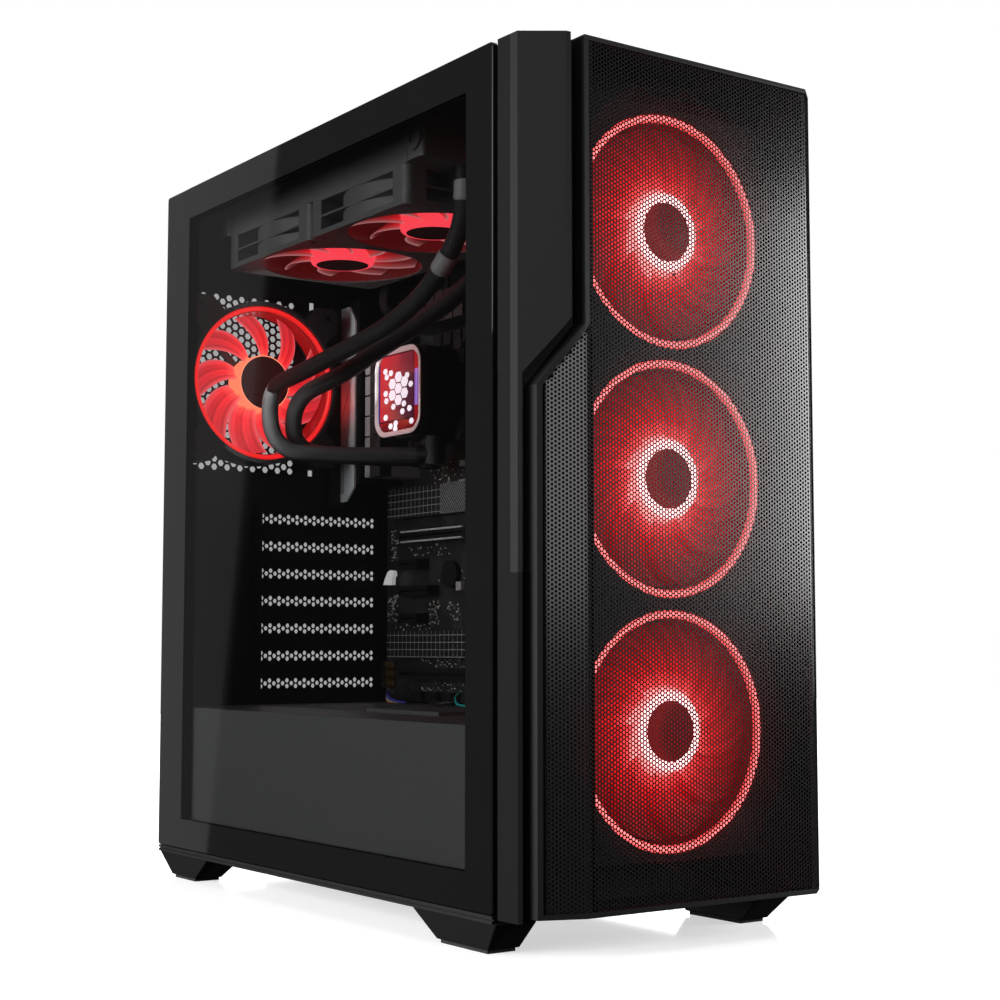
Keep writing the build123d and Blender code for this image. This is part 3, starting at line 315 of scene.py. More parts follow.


# %% [markdown]
# The braid is two families of strands that cross at a slant. Each family is a sine across its
# strands, and where one is higher it lies on top. The strands keep their tint on the crowns and are
# painted far darker down between them, as painted shade. The maps round and along the hose are
# stored on the points in millimetres, so the strands keep their width round every bend.

# %% Braided sleeve finish
def braid_finish(name, strand, tint):
    braid = Finish(name, {"Roughness": 0.42, "Specular IOR Level": 0.3})
    along, around = braid.attribute("along"), braid.attribute("around")
    first = ((along + around) * (pi / strand)).math("SINE")
    second = ((along - around) * (pi / strand)).math("SINE")
    height = abs(first).math("MAXIMUM", abs(second))
    dark = [c * 0.05 for c in tint]
    # Crowns of the strands keep the tint; the gaps between them are painted dark, as painted shade.
    braid.paint(height ** 5 * (0.6 + 0.4 * braid.noise(9.0)), dark, tint)
    braid.relief(height, 0.5)
    return braid


hose_braid = braid_finish("hose_braid", 1.9, (0.045, 0.045, 0.047))
lead_braid = braid_finish("lead_braid", 1.8, (0.014, 0.014, 0.015))
print("two braids")


# %% Hoses and leads
def cord_piece(name, radius, finish, around=28):
    """Tube along a route, with its maps in millimetres."""
    path = spline_points(name)
    rings = tube_along(path, radius * MM, around)
    far = length_along(path)
    turn = np.linspace(0, 1, around, endpoint=False)
    layers = {"along": np.repeat(far * 1000, around),
              "around": np.tile(np.abs(turn - 0.5) * 2 * pi * radius, len(far))}
    piece = make(name, [grid(rings, close_columns=True)], finish, "chassis", layers=layers)
    print(name, round(far[-1] * 1000), "mm")
    return piece


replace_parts(cord_piece("supply_braid", HOSE_RADIUS, hose_braid), "supply_hose")
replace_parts(cord_piece("return_braid", HOSE_RADIUS, hose_braid), "return_hose")
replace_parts(cord_piece("board_lead", LEAD_RADIUS, lead_braid), "power_cables")
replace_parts(cord_piece("processor_lead", LEAD_RADIUS, lead_braid), "power_cables")

# %% [markdown]
# The tower stands on a white table in a white room, lit by large soft boxes. The room is drawn
# white for the camera and dim for everything else, because a black case that mirrored a white
# room would look grey. The table glows a little, so that only the shade near the feet is left,
# and its glow is painted dimmer towards the tower, as a painted shadow round its base.

# %% Room
def room_light():
    world = bpy.data.worlds.new("room")
    world.use_nodes = True
    tree = world.node_tree
    seen, dim = tree.nodes["Background"], tree.nodes.new("ShaderNodeBackground")
    seen.inputs["Color"].default_value = (1, 1, 1, 1)
    dim.inputs["Color"].default_value = (0.03, 0.03, 0.031, 1)
    path, blend = tree.nodes.new("ShaderNodeLightPath"), tree.nodes.new("ShaderNodeMixShader")
    tree.links.new(path.outputs["Is Camera Ray"], blend.inputs[0])
    tree.links.new(dim.outputs[0], blend.inputs[1])
    tree.links.new(seen.outputs[0], blend.inputs[2])
    tree.links.new(blend.outputs[0], tree.nodes["World Output"].inputs["Surface"])
    bpy.context.scene.world = world


room_light()
bpy.context.scene.view_settings.view_transform = "Standard"
print("room", bpy.context.scene.world.name)


# %% Soft boxes
def soft_box(name, place, aim, size, power, tilt=0.0, spread=180):
    lamp = bpy.data.lights.new(name, "AREA")
    lamp.shape = "RECTANGLE"
    lamp.size, lamp.size_y = size
    lamp.energy = power
    lamp.spread = radians(spread)
    made = bpy.data.objects.new(name, lamp)
    made.location = place
    facing = (Vector(aim) - Vector(place)).to_track_quat("-Z", "Y").to_matrix()
    made.rotation_euler = (facing @ Matrix.Rotation(radians(tilt), 3, "Z")).to_euler()
    made.visible_camera = False
    bpy.context.collection.objects.link(made)


soft_box("box_front_right", (1.384, -1.111, 0.52), (0.05, -0.2275, 0.28), (0.6, 0.6), 22)
soft_box("box_front", (-0.22, -2.2, 0.62), (-0.08, -0.2275, 0.35), (0.5, 0.8), 4.5)
soft_box("box_front_left", (-1.5, -1.5, 1.15), (-0.1, -0.2, 0.50), (0.8, 0.8), 0.55, spread=30)
soft_box("box_left", (-1.7, 0.10, 0.32), (0, 0.05, 0.25), (1.4, 1.0), 85)
soft_box("box_above", (0.2, -0.2, 2.4), (0, 0, 0), (2.6, 2.6), 30)
soft_box("box_rear_right", (1.3, 1.9, 0.9), (0.05, 0.1, 0.25), (1.2, 1.2), 14)
soft_box("card_left", (-0.50, 1.5, 0.45), (-0.50, 0, 0.45), (0.64, 1.7), 1.3, tilt=-5.6)
soft_box("card_far", (2.5, 3.0, 0.8), (2.5, 0, 0.8), (4.4, 1.6), 22)
soft_box("glow_inside", (-0.06, 0.165, 0.35), (0.035, 0.205, 0.345), (0.02, 0.12), 0.13)
print(len(bpy.data.lights), "lamps")

# %% Table
TABLE_HALF, SHADE_REACH = 5.0, 1600
table_finish = Finish("table_white", {"Base Color": (0.86, 0.86, 0.86, 1), "Specular IOR Level": 0.15,
                                      "Emission Strength": 1.0})
x, y, _ = table_finish.place()
# The glow is dimmer near the tower and full white far off: a painted shadow round the tower's base.
table_finish.feed("Emission Color", table_finish.ramp((x * x + y * y) ** 0.5 / SHADE_REACH, [
    (0.15, (0.58, 0.58, 0.58)), (0.45, (0.88, 0.88, 0.88)), (0.7, (1.0, 1.0, 1.0))]))
table_finish.feed("Roughness", 0.10 + 0.03 * table_finish.noise(60.0))
across, along = np.meshgrid([-TABLE_HALF, 0, TABLE_HALF], [-TABLE_HALF, 0, TABLE_HALF])
table_mesh = bpy.data.meshes.new("table")
table_points, table_faces = grid(np.stack([across, along, np.zeros_like(across)], -1))
table_mesh.from_pydata(table_points.tolist(), [], table_faces[:, ::-1].tolist())
table_mesh.materials.append(table_finish.material)
table = bpy.data.objects.new("table", table_mesh)
bpy.context.collection.objects.link(table)
table.visible_diffuse = table.visible_glossy = False
print("table", 2 * TABLE_HALF, "m wide")

# %% [markdown]
# Moulded plastic and powder-coated steel look alike from a step away, but not up close: the
# plastic has a fine even grain, the coat a softer orange peel and a little more gloss. Both are
# a near black colour with noise in its shade, its gloss and its height.

# %% Case finishes
def grained(name, colour, roughness, grain, depth, spread=0.35, gloss=0.5):
    """Dark finish with a fine grain: lumps of a given width and depth in millimetres."""
    made = Finish(name, {"Specular IOR Level": gloss})
    fine, broad = made.noise(grain), made.noise(45.0)
    light = [min(1.0, c * (1 + spread)) for c in colour]
    dark = [c * (1 - spread) for c in colour]
    made.paint(fine * 0.85 + broad * 0.15, dark, light)
    made.feed("Roughness", roughness * (0.95 + 0.1 * broad))
    made.relief(fine, depth)
    return made


CASE_BLACK, CASE_ROUGH = (0.0068, 0.0068, 0.0073), 0.55
FILTER_BLACK = (0.02, 0.02, 0.021)
case_plastic = grained("case_plastic", CASE_BLACK, CASE_ROUGH, 0.7, 0.025, gloss=0.15)
black_coat = grained("black_coat", (0.003, 0.003, 0.0034), 0.50, 1.1, 0.004, gloss=0.25)
fan_plastic = grained("fan_plastic", (0.014, 0.014, 0.015), 0.46, 0.8, 0.006)
frame_grey = grained("frame_grey", (0.12, 0.122, 0.124), 0.48, 0.8, 0.006)
shroud_coat = grained("shroud_coat", (0.098, 0.101, 0.102), 0.50, 1.1, 0.004)
black_rubber = grained("black_rubber", (0.009, 0.009, 0.009), 0.72, 1.4, 0.08, gloss=0.3)
sheet_paint = grained("sheet_paint", (0.009, 0.009, 0.0095), 0.18, 1.2, 0.002)
filter_mesh = grained("filter_mesh", FILTER_BLACK, 0.6, 1.2, 0.01, gloss=0.2)
# A darker copy of the black coat for parts deep behind the front sheet: painted shade.
shaded_inner_black = grained("shaded_inner_black", (0.002, 0.002, 0.0022), 0.62, 1.5, 0.01, gloss=0.2)
satin_black = grained("satin_black", (0.11, 0.111, 0.113), 0.42, 2.5, 0.004)
print(len(bpy.data.materials), "finishes so far")

# %% [markdown]
# Four of these finishes change from place to place. The plastic beside the glass and low on the
# pillar's side is painted darker, as painted shade, and is also duller; red light is painted round
# each fan on the front sheet as glow; the filters have rows of pores; and the radiator is painted
# darker towards the roof, as painted shade. Each change is a formula of the point's own place in
# millimetres.

# %% Finishes that change with place
LEFT_FACE, PILLAR_FRONT, PILLAR_BACK, PILLAR_DIM = -96.5, -213.5, -205, 200
x, y, z = case_plastic.place()
# Beside the glass, and low on the pillar's side, the plastic is painted darker as painted shade, and made
# rougher.
painted_shade_beside_glass = (x < LEFT_FACE) * (y > PILLAR_FRONT) * (y > PILLAR_BACK).math("MAXIMUM", z < PILLAR_DIM)
case_plastic.paint(painted_shade_beside_glass, CASE_BLACK, (0.0030, 0.0030, 0.0033))
case_plastic.feed("Roughness", CASE_ROUGH + 0.35 * painted_shade_beside_glass)

FAN_PITCH, LOWEST_GLOW, GLOW_X, GLOW_REACH = 140.0, 45.0, -6.0, 80
GLOW_FOOT, GLOW_TOP = 47, 463
x, _, z = sheet_paint.place()
off = abs((z - LOWEST_GLOW) % FAN_PITCH - FAN_PITCH / 2)
from_axis = ((x - GLOW_X) ** 2 + off ** 2) ** 0.5
# Red light from the fans is painted on the sheet as glow, brightest in a ring round each fan's axis.
painted_fan_glow = sheet_paint.ramp(from_axis / GLOW_REACH, [
    (0.0, (0.022, 0.0006, 0.0006)), (0.18, (0.035, 0.001, 0.001)), (0.25, (0.12, 0.003, 0.003)),
    (0.36, (0.075, 0.001, 0.001)), (0.55, (0.028, 0.0003, 0.0004)), (0.80, (0.012, 0.0001, 0.0002)),
    (1.0, (0, 0, 0))])
sheet_paint.feed("Emission Color", sheet_paint.mix((z > GLOW_FOOT) * (z < GLOW_TOP), (0, 0, 0), painted_fan_glow))
sheet_paint.feed("Emission Strength", 1.0)

PORE_PITCH, PORE_SQUARED = 2.4, 0.7
x, y, _ = filter_mesh.place()
pores = (x % PORE_PITCH - PORE_PITCH / 2) ** 2 + (y % PORE_PITCH - PORE_PITCH / 2) ** 2 < PORE_SQUARED
filter_mesh.paint(pores, FILTER_BLACK, (0.001, 0.001, 0.001))
filter_mesh.relief(pores, -0.3)

# The radiator's grey is painted darker towards the roof, as painted shade.
RADIATOR_FOOT, RADIATOR_TALL = 455.0, 30
_, _, z = satin_black.place()
satin_black.feed("Base Color", satin_black.ramp((z - RADIATOR_FOOT) / RADIATOR_TALL, [
    (0.0, (0.14, 0.142, 0.145)), (0.35, (0.085, 0.086, 0.088)), (0.8, (0.012, 0.012, 0.012))]))
print("front glow every", FAN_PITCH, "mm, pores every", PORE_PITCH, "mm")

# %% [markdown]
# Many pieces need no new shape: the tray, the rear panel, the shroud, the foot pads. Their CAD
# mesh could be copied, but it already stands in the right place, so it only takes a finish.

# %% Dress the solids that keep their shape
def dress(finish, *names):
    """A CAD solid whose shape is right keeps its mesh and takes a finish."""
    for name in names:
        nodes[name].data.materials.clear()
        nodes[name].data.materials.append(finish.material)
    print(finish.material.name, "on", len(names), "solids")


dress(shaded_inner_black, "fan_wall")
dress(black_coat, "base_pan", "rear_panel", "roof_frame", "motherboard_tray", "cable_plate", "slot_covers",
      "psu_case", "right_panel", "pump_housing", "pump_cap", "hose_fittings", "io_cover")
dress(case_plastic, "top_io_panel", "psu_socket", "psu_switch", "glass_rails", "power_button",
      "reset_button", "memory_slots", "expansion_slots", "board_components")
dress(filter_mesh, "top_filter", "psu_filter")
dress(shroud_coat, "psu_shroud")
dress(black_rubber, "foot_pads", "cable_grommets")
dress(satin_black, "radiator_core", "radiator_tanks")

# %% [markdown]
# No real edge is perfectly sharp: a thin line of light runs along every moulded corner. The CAD
# solids have sharp edges, so the large mouldings get a copy with a narrow bevel. The copy's loose
# triangles are first merged and its flat faces rejoined, so that only true edges are bevelled.

# %% Softened mouldings
def bevelled(piece, width, segments=1, harden=False):
    """Narrow rounding, in millimetres, of every edge sharper than 34 degrees."""
    bevel = piece.modifiers.new("edges", "BEVEL")
    bevel.width, bevel.segments = width * MM, segments
    bevel.limit_method, bevel.angle_limit = "ANGLE", radians(34)
    bevel.harden_normals = harden
    return piece


def softened(node, finish, body, width):
    """A merged copy of a CAD solid with its edges rounded by a width in millimetres."""
    shape = bmesh.new()
    shape.from_mesh(nodes[node].data)
    bmesh.ops.remove_doubles(shape, verts=shape.verts, dist=1e-6)
    bmesh.ops.dissolve_limit(shape, angle_limit=radians(0.4), verts=shape.verts, edges=shape.edges)
    mesh = bpy.data.meshes.new(node + "_soft")
    shape.to_mesh(mesh)
    shape.free()
    made = bevelled(settled(node + "_soft", mesh, finish, body, 30), width, 2, harden=True)
    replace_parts(made, node)
    print(node, "softened by", width, "mm")


softened("front_frame", case_plastic, "front_panel", 0.5)
softened("feet", case_plastic, "chassis", 0.8)
softened("front_fan_frames", shaded_inner_black, "chassis", 0.35)
softened("rear_fan_frame", fan_plastic, "chassis", 0.5)
softened("radiator_fan_frames", frame_grey, "chassis", 0.35)

# %% [markdown]
# The front is a bent steel sheet with thousands of small hexagon holes. A picture of holes would
# look flat from the side, so every cell is real: a hexagon ring in front, one behind and six
# walls between. Cells are laid out flat, by length along the bend and height, and then carried
# onto the bent line. Behind the narrow left side a plain black strip hides what is inside and
# stands in for the shade there.

# %% The sheet's bent line
SKIN = np.array([(-93.95, -219.5), (-71.0, -227.5), (91.0, -227.5), (103.73, -216.845)])
SHEET_FRONT, SHEET_BACK = 0.5, 0.68
SHEET_LOW, SHEET_HIGH = 25.4, 484.4
SLANT_CORNER, SLANT_RISE = (-69.6, 330.7), 1.352


def inset(run, depth):
    """Corners of a run moved to its left by a depth: each goes along the mean of its two sides' normals."""
    way = np.roll(run, -1, 0) - run
    way /= np.linalg.norm(way, axis=1, keepdims=True)
    after = np.stack([-way[:, 1], way[:, 0]], 1)
    before = np.roll(after, 1, 0)
    before[0], after[-1] = after[0], before[-1]
    return run + depth * (before + after) / (1 + (before * after).sum(1, keepdims=True))


bend_at = length_along(SKIN)


def on_sheet(along, height, depth):
    """Point at a length along the bent line, at a height, at a depth under the skin."""
    line = inset(SKIN, depth)
    flat = [np.interp(along, bend_at, line[:, k]) for k in (0, 1)]
    return np.stack([*flat, height], -1) * MM


print("sheet is", round(bend_at[-1], 1), "mm round the bend")

# %% Cells of the sheet
CELL, HOLE, MARGIN = 2.37, 1.54, 0.3
MAP_LEFT, MAP_WIDE, MAP_TALL = -100, 210, 460


def cell_centres():
    """Staggered columns of centres that lie inside the sheet's outline, margin included."""
    column = np.arange(int(bend_at[-1] / (CELL * sqrt(3) / 2)) + 1)
    row = np.arange(int((SHEET_HIGH - SHEET_LOW) / CELL) + 1)
    column, row = (a.ravel() for a in np.meshgrid(column, row))
    along = column * CELL * sqrt(3) / 2
    height = SHEET_LOW + CELL * (row + 0.5 * (column % 2))
    x = np.interp(along, bend_at, SKIN[:, 0])
    inside = (along > MARGIN) & (along < bend_at[-1] - MARGIN)
    inside &= (height > SHEET_LOW + MARGIN) & (height < SHEET_HIGH - MARGIN)
    slope = SLANT_CORNER[1] + (x - SLANT_CORNER[0]) * SLANT_RISE - 2 * MARGIN
    inside &= (x > SLANT_CORNER[0] + MARGIN) | (height < slope)
    inside &= np.abs(along - bend_at[1]) > CELL * 0.4
    return along[inside], height[inside]


def lattice(along, height):
    """Hexagon cells with hexagon holes: four rings of six points per cell, and quads between them."""
    angle = np.arange(6) * pi / 3
    wide, high = np.cos(angle) / sqrt(3), np.sin(angle) / sqrt(3)
    rings = []
    for size, depth in ((CELL, SHEET_FRONT), (HOLE, SHEET_FRONT), (HOLE, SHEET_BACK), (CELL, SHEET_BACK)):
        rings.append(on_sheet(along[:, None] + size * wide, height[:, None] + size * high, depth))
    points = np.stack(rings, 1).reshape(-1, 3)
    quads = grid(np.zeros((4, 6, 3)), close_columns=True)[1]
    faces = (quads[None] + 24 * np.arange(len(along))[:, None, None]).reshape(-1, 4)
    return points, faces


# %% Sheet pieces
cells_along, cells_high = cell_centres()
BANDS = 4
band_of = np.minimum(((cells_high - SHEET_LOW) / (SHEET_HIGH - SHEET_LOW) * BANDS).astype(int), BANDS - 1)
for band in range(BANDS):
    points, faces = lattice(cells_along[band_of == band], cells_high[band_of == band])
    corners = points[faces.ravel()] / MM
    uv = np.stack([(corners[:, 0] - MAP_LEFT) / MAP_WIDE, (corners[:, 2] - SHEET_LOW) / MAP_TALL], 1)
    piece = make(f"sheet_band_{band}", [(points, faces)], sheet_paint, "front_panel", uv=uv)
    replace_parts(piece, "front_mesh")
print(len(cells_along), "cells")

# %% Dark backing behind the narrow side of the sheet
# These strips are a dark sheet put where the inside is in shade: painted shade behind the holes.
PAST_BEND, STRIP_FRONT, STRIP_BACK = 4.4, 1.30, 1.38
left_low = SLANT_CORNER[1] + (SKIN[0, 0] - SLANT_CORNER[0]) * SLANT_RISE - 1
left_high = SLANT_CORNER[1] + (SKIN[1, 0] - SLANT_CORNER[0]) * SLANT_RISE - 1
corner_along = np.interp(SLANT_CORNER[0], SKIN[:, 0], bend_at)
strips = [(0.2, bend_at[1], left_low, left_high),
          (bend_at[1], bend_at[1] + PAST_BEND, left_high, left_high),
          (corner_along + 0.3, bend_at[1] + PAST_BEND, SHEET_HIGH, SHEET_HIGH)]
backing = []
for start, stop, high_start, high_stop in strips:
    side_along = np.array([[start, stop]] * 2)
    side_high = np.array([[SHEET_LOW, SHEET_LOW], [high_start, high_stop]])
    backing += [grid(on_sheet(side_along, side_high, STRIP_FRONT)[::-1]),
                grid(on_sheet(side_along, side_high, STRIP_BACK))]
make("sheet_backing", backing, shaded_inner_black, "front_panel")
print(len(strips), "dark strips")

# %% [markdown]
# The side is toughened glass with a black border printed on its inner face. Clear glass could be
# a refracting shader, but then the soft boxes outside would not reach the inside. Here the pane
# is a polished black sheet whose alpha is low inside the window, so light passes straight through.

# %% Glass pane
PANE_LOW, PANE_HIGH = (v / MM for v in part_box("glass_pane"))
WINDOW_LOW, WINDOW_HIGH = (-165.2, 42.6), (186.5, 465.4)
CORNER, POLISH = 2.5, 0.5

glass_print = Finish("glass_print", {"Roughness": 0.03, "IOR": 1.5, "Specular IOR Level": 0.2})
_, y, z = glass_print.place()
window = glass_print.within(y, z, WINDOW_LOW, WINDOW_HIGH)
glass_print.feed("Alpha", 1 - 0.60 * window)
ink = glass_print.mix(glass_print.noise(30.0), (0.0042, 0.0042, 0.0044), (0.0050, 0.0050, 0.0053))
glass_print.paint(window, ink, (0.001, 0.001, 0.001))


def rounded_outline(low, high, radius, steps=6):
    """Rectangle with round corners, anticlockwise: each corner's centre plus a quarter turn."""
    centres = np.array([(high[0] - radius, high[1] - radius), (low[0] + radius, high[1] - radius),
                        (low[0] + radius, low[1] + radius), (high[0] - radius, low[1] + radius)])
    angle = np.arange(4)[:, None] * pi / 2 + np.linspace(0, pi / 2, steps)
    return (centres[:, None] + radius * np.stack([np.cos(angle), np.sin(angle)], -1)).reshape(-1, 2)


def set_at(rings):
    """Outlines in y and z, each set at its own x: an array of (rings, corners, 3), in metres."""
    return np.stack([np.column_stack([np.full(len(ring), x), ring]) for x, ring in rings]) * MM


def slab_x(low, high, radius, edge):
    """Plate square to X: an outline drawn in by an edge width on both faces, the full outline between."""
    full = rounded_outline(low[1:], high[1:], radius)
    face = rounded_outline(low[1:] + edge, high[1:] - edge, max(radius - edge, 0.1))
    points = set_at([(low[0], face), (low[0] + edge, full), (high[0] - edge, full), (high[0], face)])
    count = len(full)
    caps = np.stack([np.arange(count)[::-1], np.arange(count) + 3 * count])
    wall_points, walls = grid(points, close_columns=True)
    return [(wall_points, walls[:, ::-1]), (wall_points, caps)]


pane = make("glass_sheet", slab_x(np.array(PANE_LOW), np.array(PANE_HIGH), CORNER, POLISH), glass_print,
            "glass_panel", sharp=20)
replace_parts(pane, "glass_pane")
print("window", *np.subtract(WINDOW_HIGH, WINDOW_LOW).round(1), "mm")

# %% [markdown]
# A fan rotor is one moulding: a hub cup and nine swept blades of clear plastic, lit from diodes
# in the hub. The cup is a profile turned round the axis. A blade is a grid of lens-shaped sections
# from root to tip. Each point also keeps its radius in millimetres, which the glow follows.

# %% Turned and swept shapes
BLADES, SWEEP = 9, 0.42
SPAN_STEPS, CHORD_STEPS = 14, 11


def turned(profile, steps=72):
    """Profile of (radius, height) pairs turned round the axis: (r cos a, r sin a, h)."""
    angle = np.linspace(0, 2 * pi, steps, endpoint=False)
    radius, height = np.asarray(profile, float).T
    flat = radius[:, None, None] * np.stack([np.cos(angle), np.sin(angle)], -1)
    return np.concatenate([flat, np.broadcast_to(height[:, None, None], (*flat.shape[:2], 1))], -1)


def there_and_back(values):
    """Values along a section's upper side, then back along its lower side."""
    return np.concatenate([values, values[-2:0:-1]])


def swept_blade(root, tip, middle, turn, rise, fill, taper):
    """Lens sections at radius r: angle = turn + sweep s^1.5 + width (t - 1/2); height falls along t."""
    s = np.linspace(0, 1, SPAN_STEPS)[:, None]
    loop = there_and_back(np.linspace(0, 1, CHORD_STEPS))[None]
    side = np.where(np.arange(loop.size) < CHORD_STEPS, 1.0, -1.0)[None]
    radius = root + (tip - root) * s
    width = 2 * pi / BLADES * fill * (1 - 0.25 * s ** 4)
    angle = turn + SWEEP * s ** 1.5 + width * (loop - 0.5)
    camber = 2.2 * (loop * (1 - loop)) * (1 - 0.4 * s)
    lens = side * 1.5 * np.sqrt(loop * (1 - loop))
    height = middle + rise * (1 - taper * s) * (0.5 - loop) + camber + lens
    return np.stack([radius * np.cos(angle), radius * np.sin(angle), height], -1)


FORWARD = np.array([(1, 0, 0), (0, 0, 1), (0, -1, 0)])
DOWNWARD = np.array([(1, 0, 0), (0, -1, 0), (0, 0, -1)])
UPWARD = np.eye(3)


def rotor(name, centre, facing, finish, hub, tip, disc, deep=25.0, fill=0.86, sunk=1.2, rise=12.0,
          level=0.53, taper=0.35, shoulder=3.0):
    """Hub cup with a flat disc in its face, a round shoulder and a wall, and its blades."""
    front, wall = deep - sunk, hub / 2 - 0.2
    bend = np.linspace(0, pi / 2, 6)
    round_edge = [(wall - shoulder * (1 - sin(a)), front - shoulder * (1 - cos(a))) for a in bend]
    face = turned([(0.5, front - 0.5), (disc / 2, front - 0.5), (disc / 2 + 0.3, front)])
    cup = turned([(disc / 2 + 0.3, front)] + round_edge + [(wall, 5.2), (wall - 1.8, 5.2)])
    grids = [grid(face, close_columns=True), grid(cup, close_columns=True)]
    centre_cap = (face[0], np.arange(face.shape[1])[None])
    swept = [swept_blade(hub / 2 - 0.6, tip / 2 - 0.4, deep * level, 2 * pi * k / BLADES, rise, fill, taper)
             for k in range(BLADES)]
    ends = [(row[-1], np.arange(row.shape[1])[::-1][None]) for row in swept]
    parts = grids + [centre_cap] + [grid(row, close_columns=True) for row in swept] + ends
    local = np.vstack([points for points, _ in parts])
    part_of = np.repeat(np.arange(len(parts)), [len(points) for points, _ in parts])
    on_disc, on_blade = (part_of == 0) | (part_of == 2), part_of > 2
    reach = np.hypot(local[:, 0], local[:, 1])
    outward = ((reach - hub / 2) / (tip - hub) * 2).clip(0)
    slant = np.unwrap(np.arctan2(local[:, 1], local[:, 0])) - SWEEP * outward ** 1.5
    chord = np.tile(there_and_back(np.abs(np.linspace(-1, 1, CHORD_STEPS)) ** 6), BLADES * SPAN_STEPS)
    rim, first = np.zeros(len(local)), np.argmax(on_blade)
    rim[first:first + len(chord)] = chord
    layers = {"reach": reach, "disc": on_disc, "swirl": slant * on_blade, "rim": rim}
    placed = [((np.array(centre) + points @ facing) * MM, faces) for points, faces in parts]
    piece = make(name + "_rotor_lit", placed, finish, name, layers=layers)
    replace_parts(piece, name + "_rotor")


# %% [markdown]
# Clear plastic carries light from the hub out to the blade tips, so it is palest at the hub and
# deep red at the tips. Real scattering inside the plastic would be slow and noisy. A glow that
# follows each point's radius, with faint streaks along the sweep, gives the same look at once.

# %% Lit plastic
def lit_finish(name, strength, stops, widest, disc=(0.05, 0.001, 0.0015), base=(0.06, 0.004, 0.004),
               rim=None):
    """Plastic that glows by its distance from the axis, in faint streaks; the disc in the hub is dark, and
    blade edges may get a paler painted highlight.
    """
    made = Finish(name, {"Roughness": 0.55, "Specular IOR Level": 0.15, "Emission Strength": strength})
    on_disc, swirl = made.attribute("disc") > 0.5, made.attribute("swirl")
    streaks = 0.80 + 0.14 * (swirl * 27).math("SINE") + 0.10 * (swirl * 63).math("SINE")
    glow = made.ramp(made.attribute("reach") / widest, stops)
    glow = made.mix(streaks, (0, 0, 0), glow)
    # Edges of the blades glow paler: a painted highlight along the rim.
    if rim:
        glow = made.mix(0.75 * made.attribute("rim"), glow, rim)
    made.feed("Emission Color", made.mix(on_disc, glow, disc))
    made.paint(on_disc, base, (0.005, 0.002, 0.002))
    return made


front_glow = lit_finish("front_fan_glow", 4.0, [
    (0.35, (1.0, 0.50, 0.50)), (0.375, (0.95, 0.20, 0.20)), (0.43, (0.62, 0.030, 0.032)),
    (0.56, (0.27, 0.003, 0.004)), (0.78, (0.13, 0.001, 0.0015)), (1.0, (0.065, 0.0005, 0.0008))], 60.5)
rear_glow = lit_finish("rear_fan_glow", 4.2, [
    (0.36, (1.0, 0.50, 0.30)), (0.39, (1.0, 0.20, 0.10)), (0.44, (0.95, 0.060, 0.055)),
    (0.56, (0.68, 0.018, 0.024)), (0.80, (0.52, 0.016, 0.022)), (1.0, (0.44, 0.018, 0.026))], 51.5,
    disc=(0.012, 0.0006, 0.0006), rim=(0.50, 0.09, 0.10))
roof_glow = lit_finish("roof_fan_glow", 3.2, [
    (0.38, (1.0, 0.060, 0.090)), (0.41, (1.0, 0.055, 0.080)), (0.44, (0.50, 0.008, 0.012)),
    (0.60, (0.26, 0.005, 0.007)), (0.80, (0.14, 0.004, 0.005)), (1.0, (0.07, 0.005, 0.006))], 55.5,
    disc=(0.004, 0.0004, 0.0005), base=(0.10, 0.05, 0.05), rim=(0.40, 0.17, 0.18))
supply_plastic = lit_finish("supply_fan_plastic", 0.0, [(0, (0, 0, 0)), (1, (0, 0, 0))], 61.0,
                            base=(0.012, 0.012, 0.013))
print("four kinds of blade plastic")

# %% Rotors
FRONT_FANS = {"bottom": (3.9, -182.0, 115.0), "middle": (3.9, -182.0, 255.0), "top": (3.9, -182.0, 395.0)}
REAR_FAN = (-40.5, 220.0, 354.3)
ROOF_FANS = {"front": (-15.0, 8.0, 457.2), "rear": (-15.0, 128.5, 457.2)}
SUPPLY_FAN = (7.0, 150.0, 22.0)

for level, place in FRONT_FANS.items():
    rotor(f"front_fan_{level}", place, FORWARD, front_glow, hub=47.0, tip=121.0, disc=33.0, fill=1.5,
          sunk=3.2)
rotor("rear_fan", REAR_FAN, FORWARD, rear_glow, hub=41.0, tip=103.0, disc=38.4, fill=0.80, rise=-13.0,
      shoulder=0.9)
for end, place in ROOF_FANS.items():
    rotor(f"radiator_fan_{end}", place, DOWNWARD, roof_glow, hub=45.5, tip=111.0, disc=36.5, sunk=0.4,
          rise=16.0, level=0.52, taper=0.0)
rotor("psu_fan", SUPPLY_FAN, UPWARD, supply_plastic, hub=41.0, tip=122.0, disc=33.0, deep=22.0)
print("seven rotors")

# %% [markdown]
# A round light guide runs round each front fan and the rear one, and all the lit fans' bores shine
# back. The guide is a half round profile turned about the fan's axis. A torus would do, but the
# real guide is flat behind, where it lies on the frame. A bore's shine is a thin band on its wall.

# %% Light rings and lit bores
RING_SIDES = 144


def ring_finish(name, middle, edge, centre, half):
    """Glow that is palest in the middle of the ring's width and falls off to both edges."""
    made = Finish(name, {"Roughness": 0.3, "Emission Strength": 1.0, "Base Color": (0.05, 0.004, 0.004, 1)})
    off = abs(made.attribute("reach") - centre) / half
    made.feed("Emission Color", made.mix(off * off, middle, edge))
    return made


def ring_piece(name, finish, centre, profile, facing=FORWARD):
    """Profile of (radius, height) pairs turned round a fan's axis and closed on itself."""
    rings = turned(profile, RING_SIDES)
    reach = np.repeat(np.asarray(profile)[:, 0], RING_SIDES)
    placed = (np.array(centre) + rings @ facing) * MM
    return make(name, [grid(placed, close_rows=True, close_columns=True)], finish, "chassis",
                layers={"reach": reach})


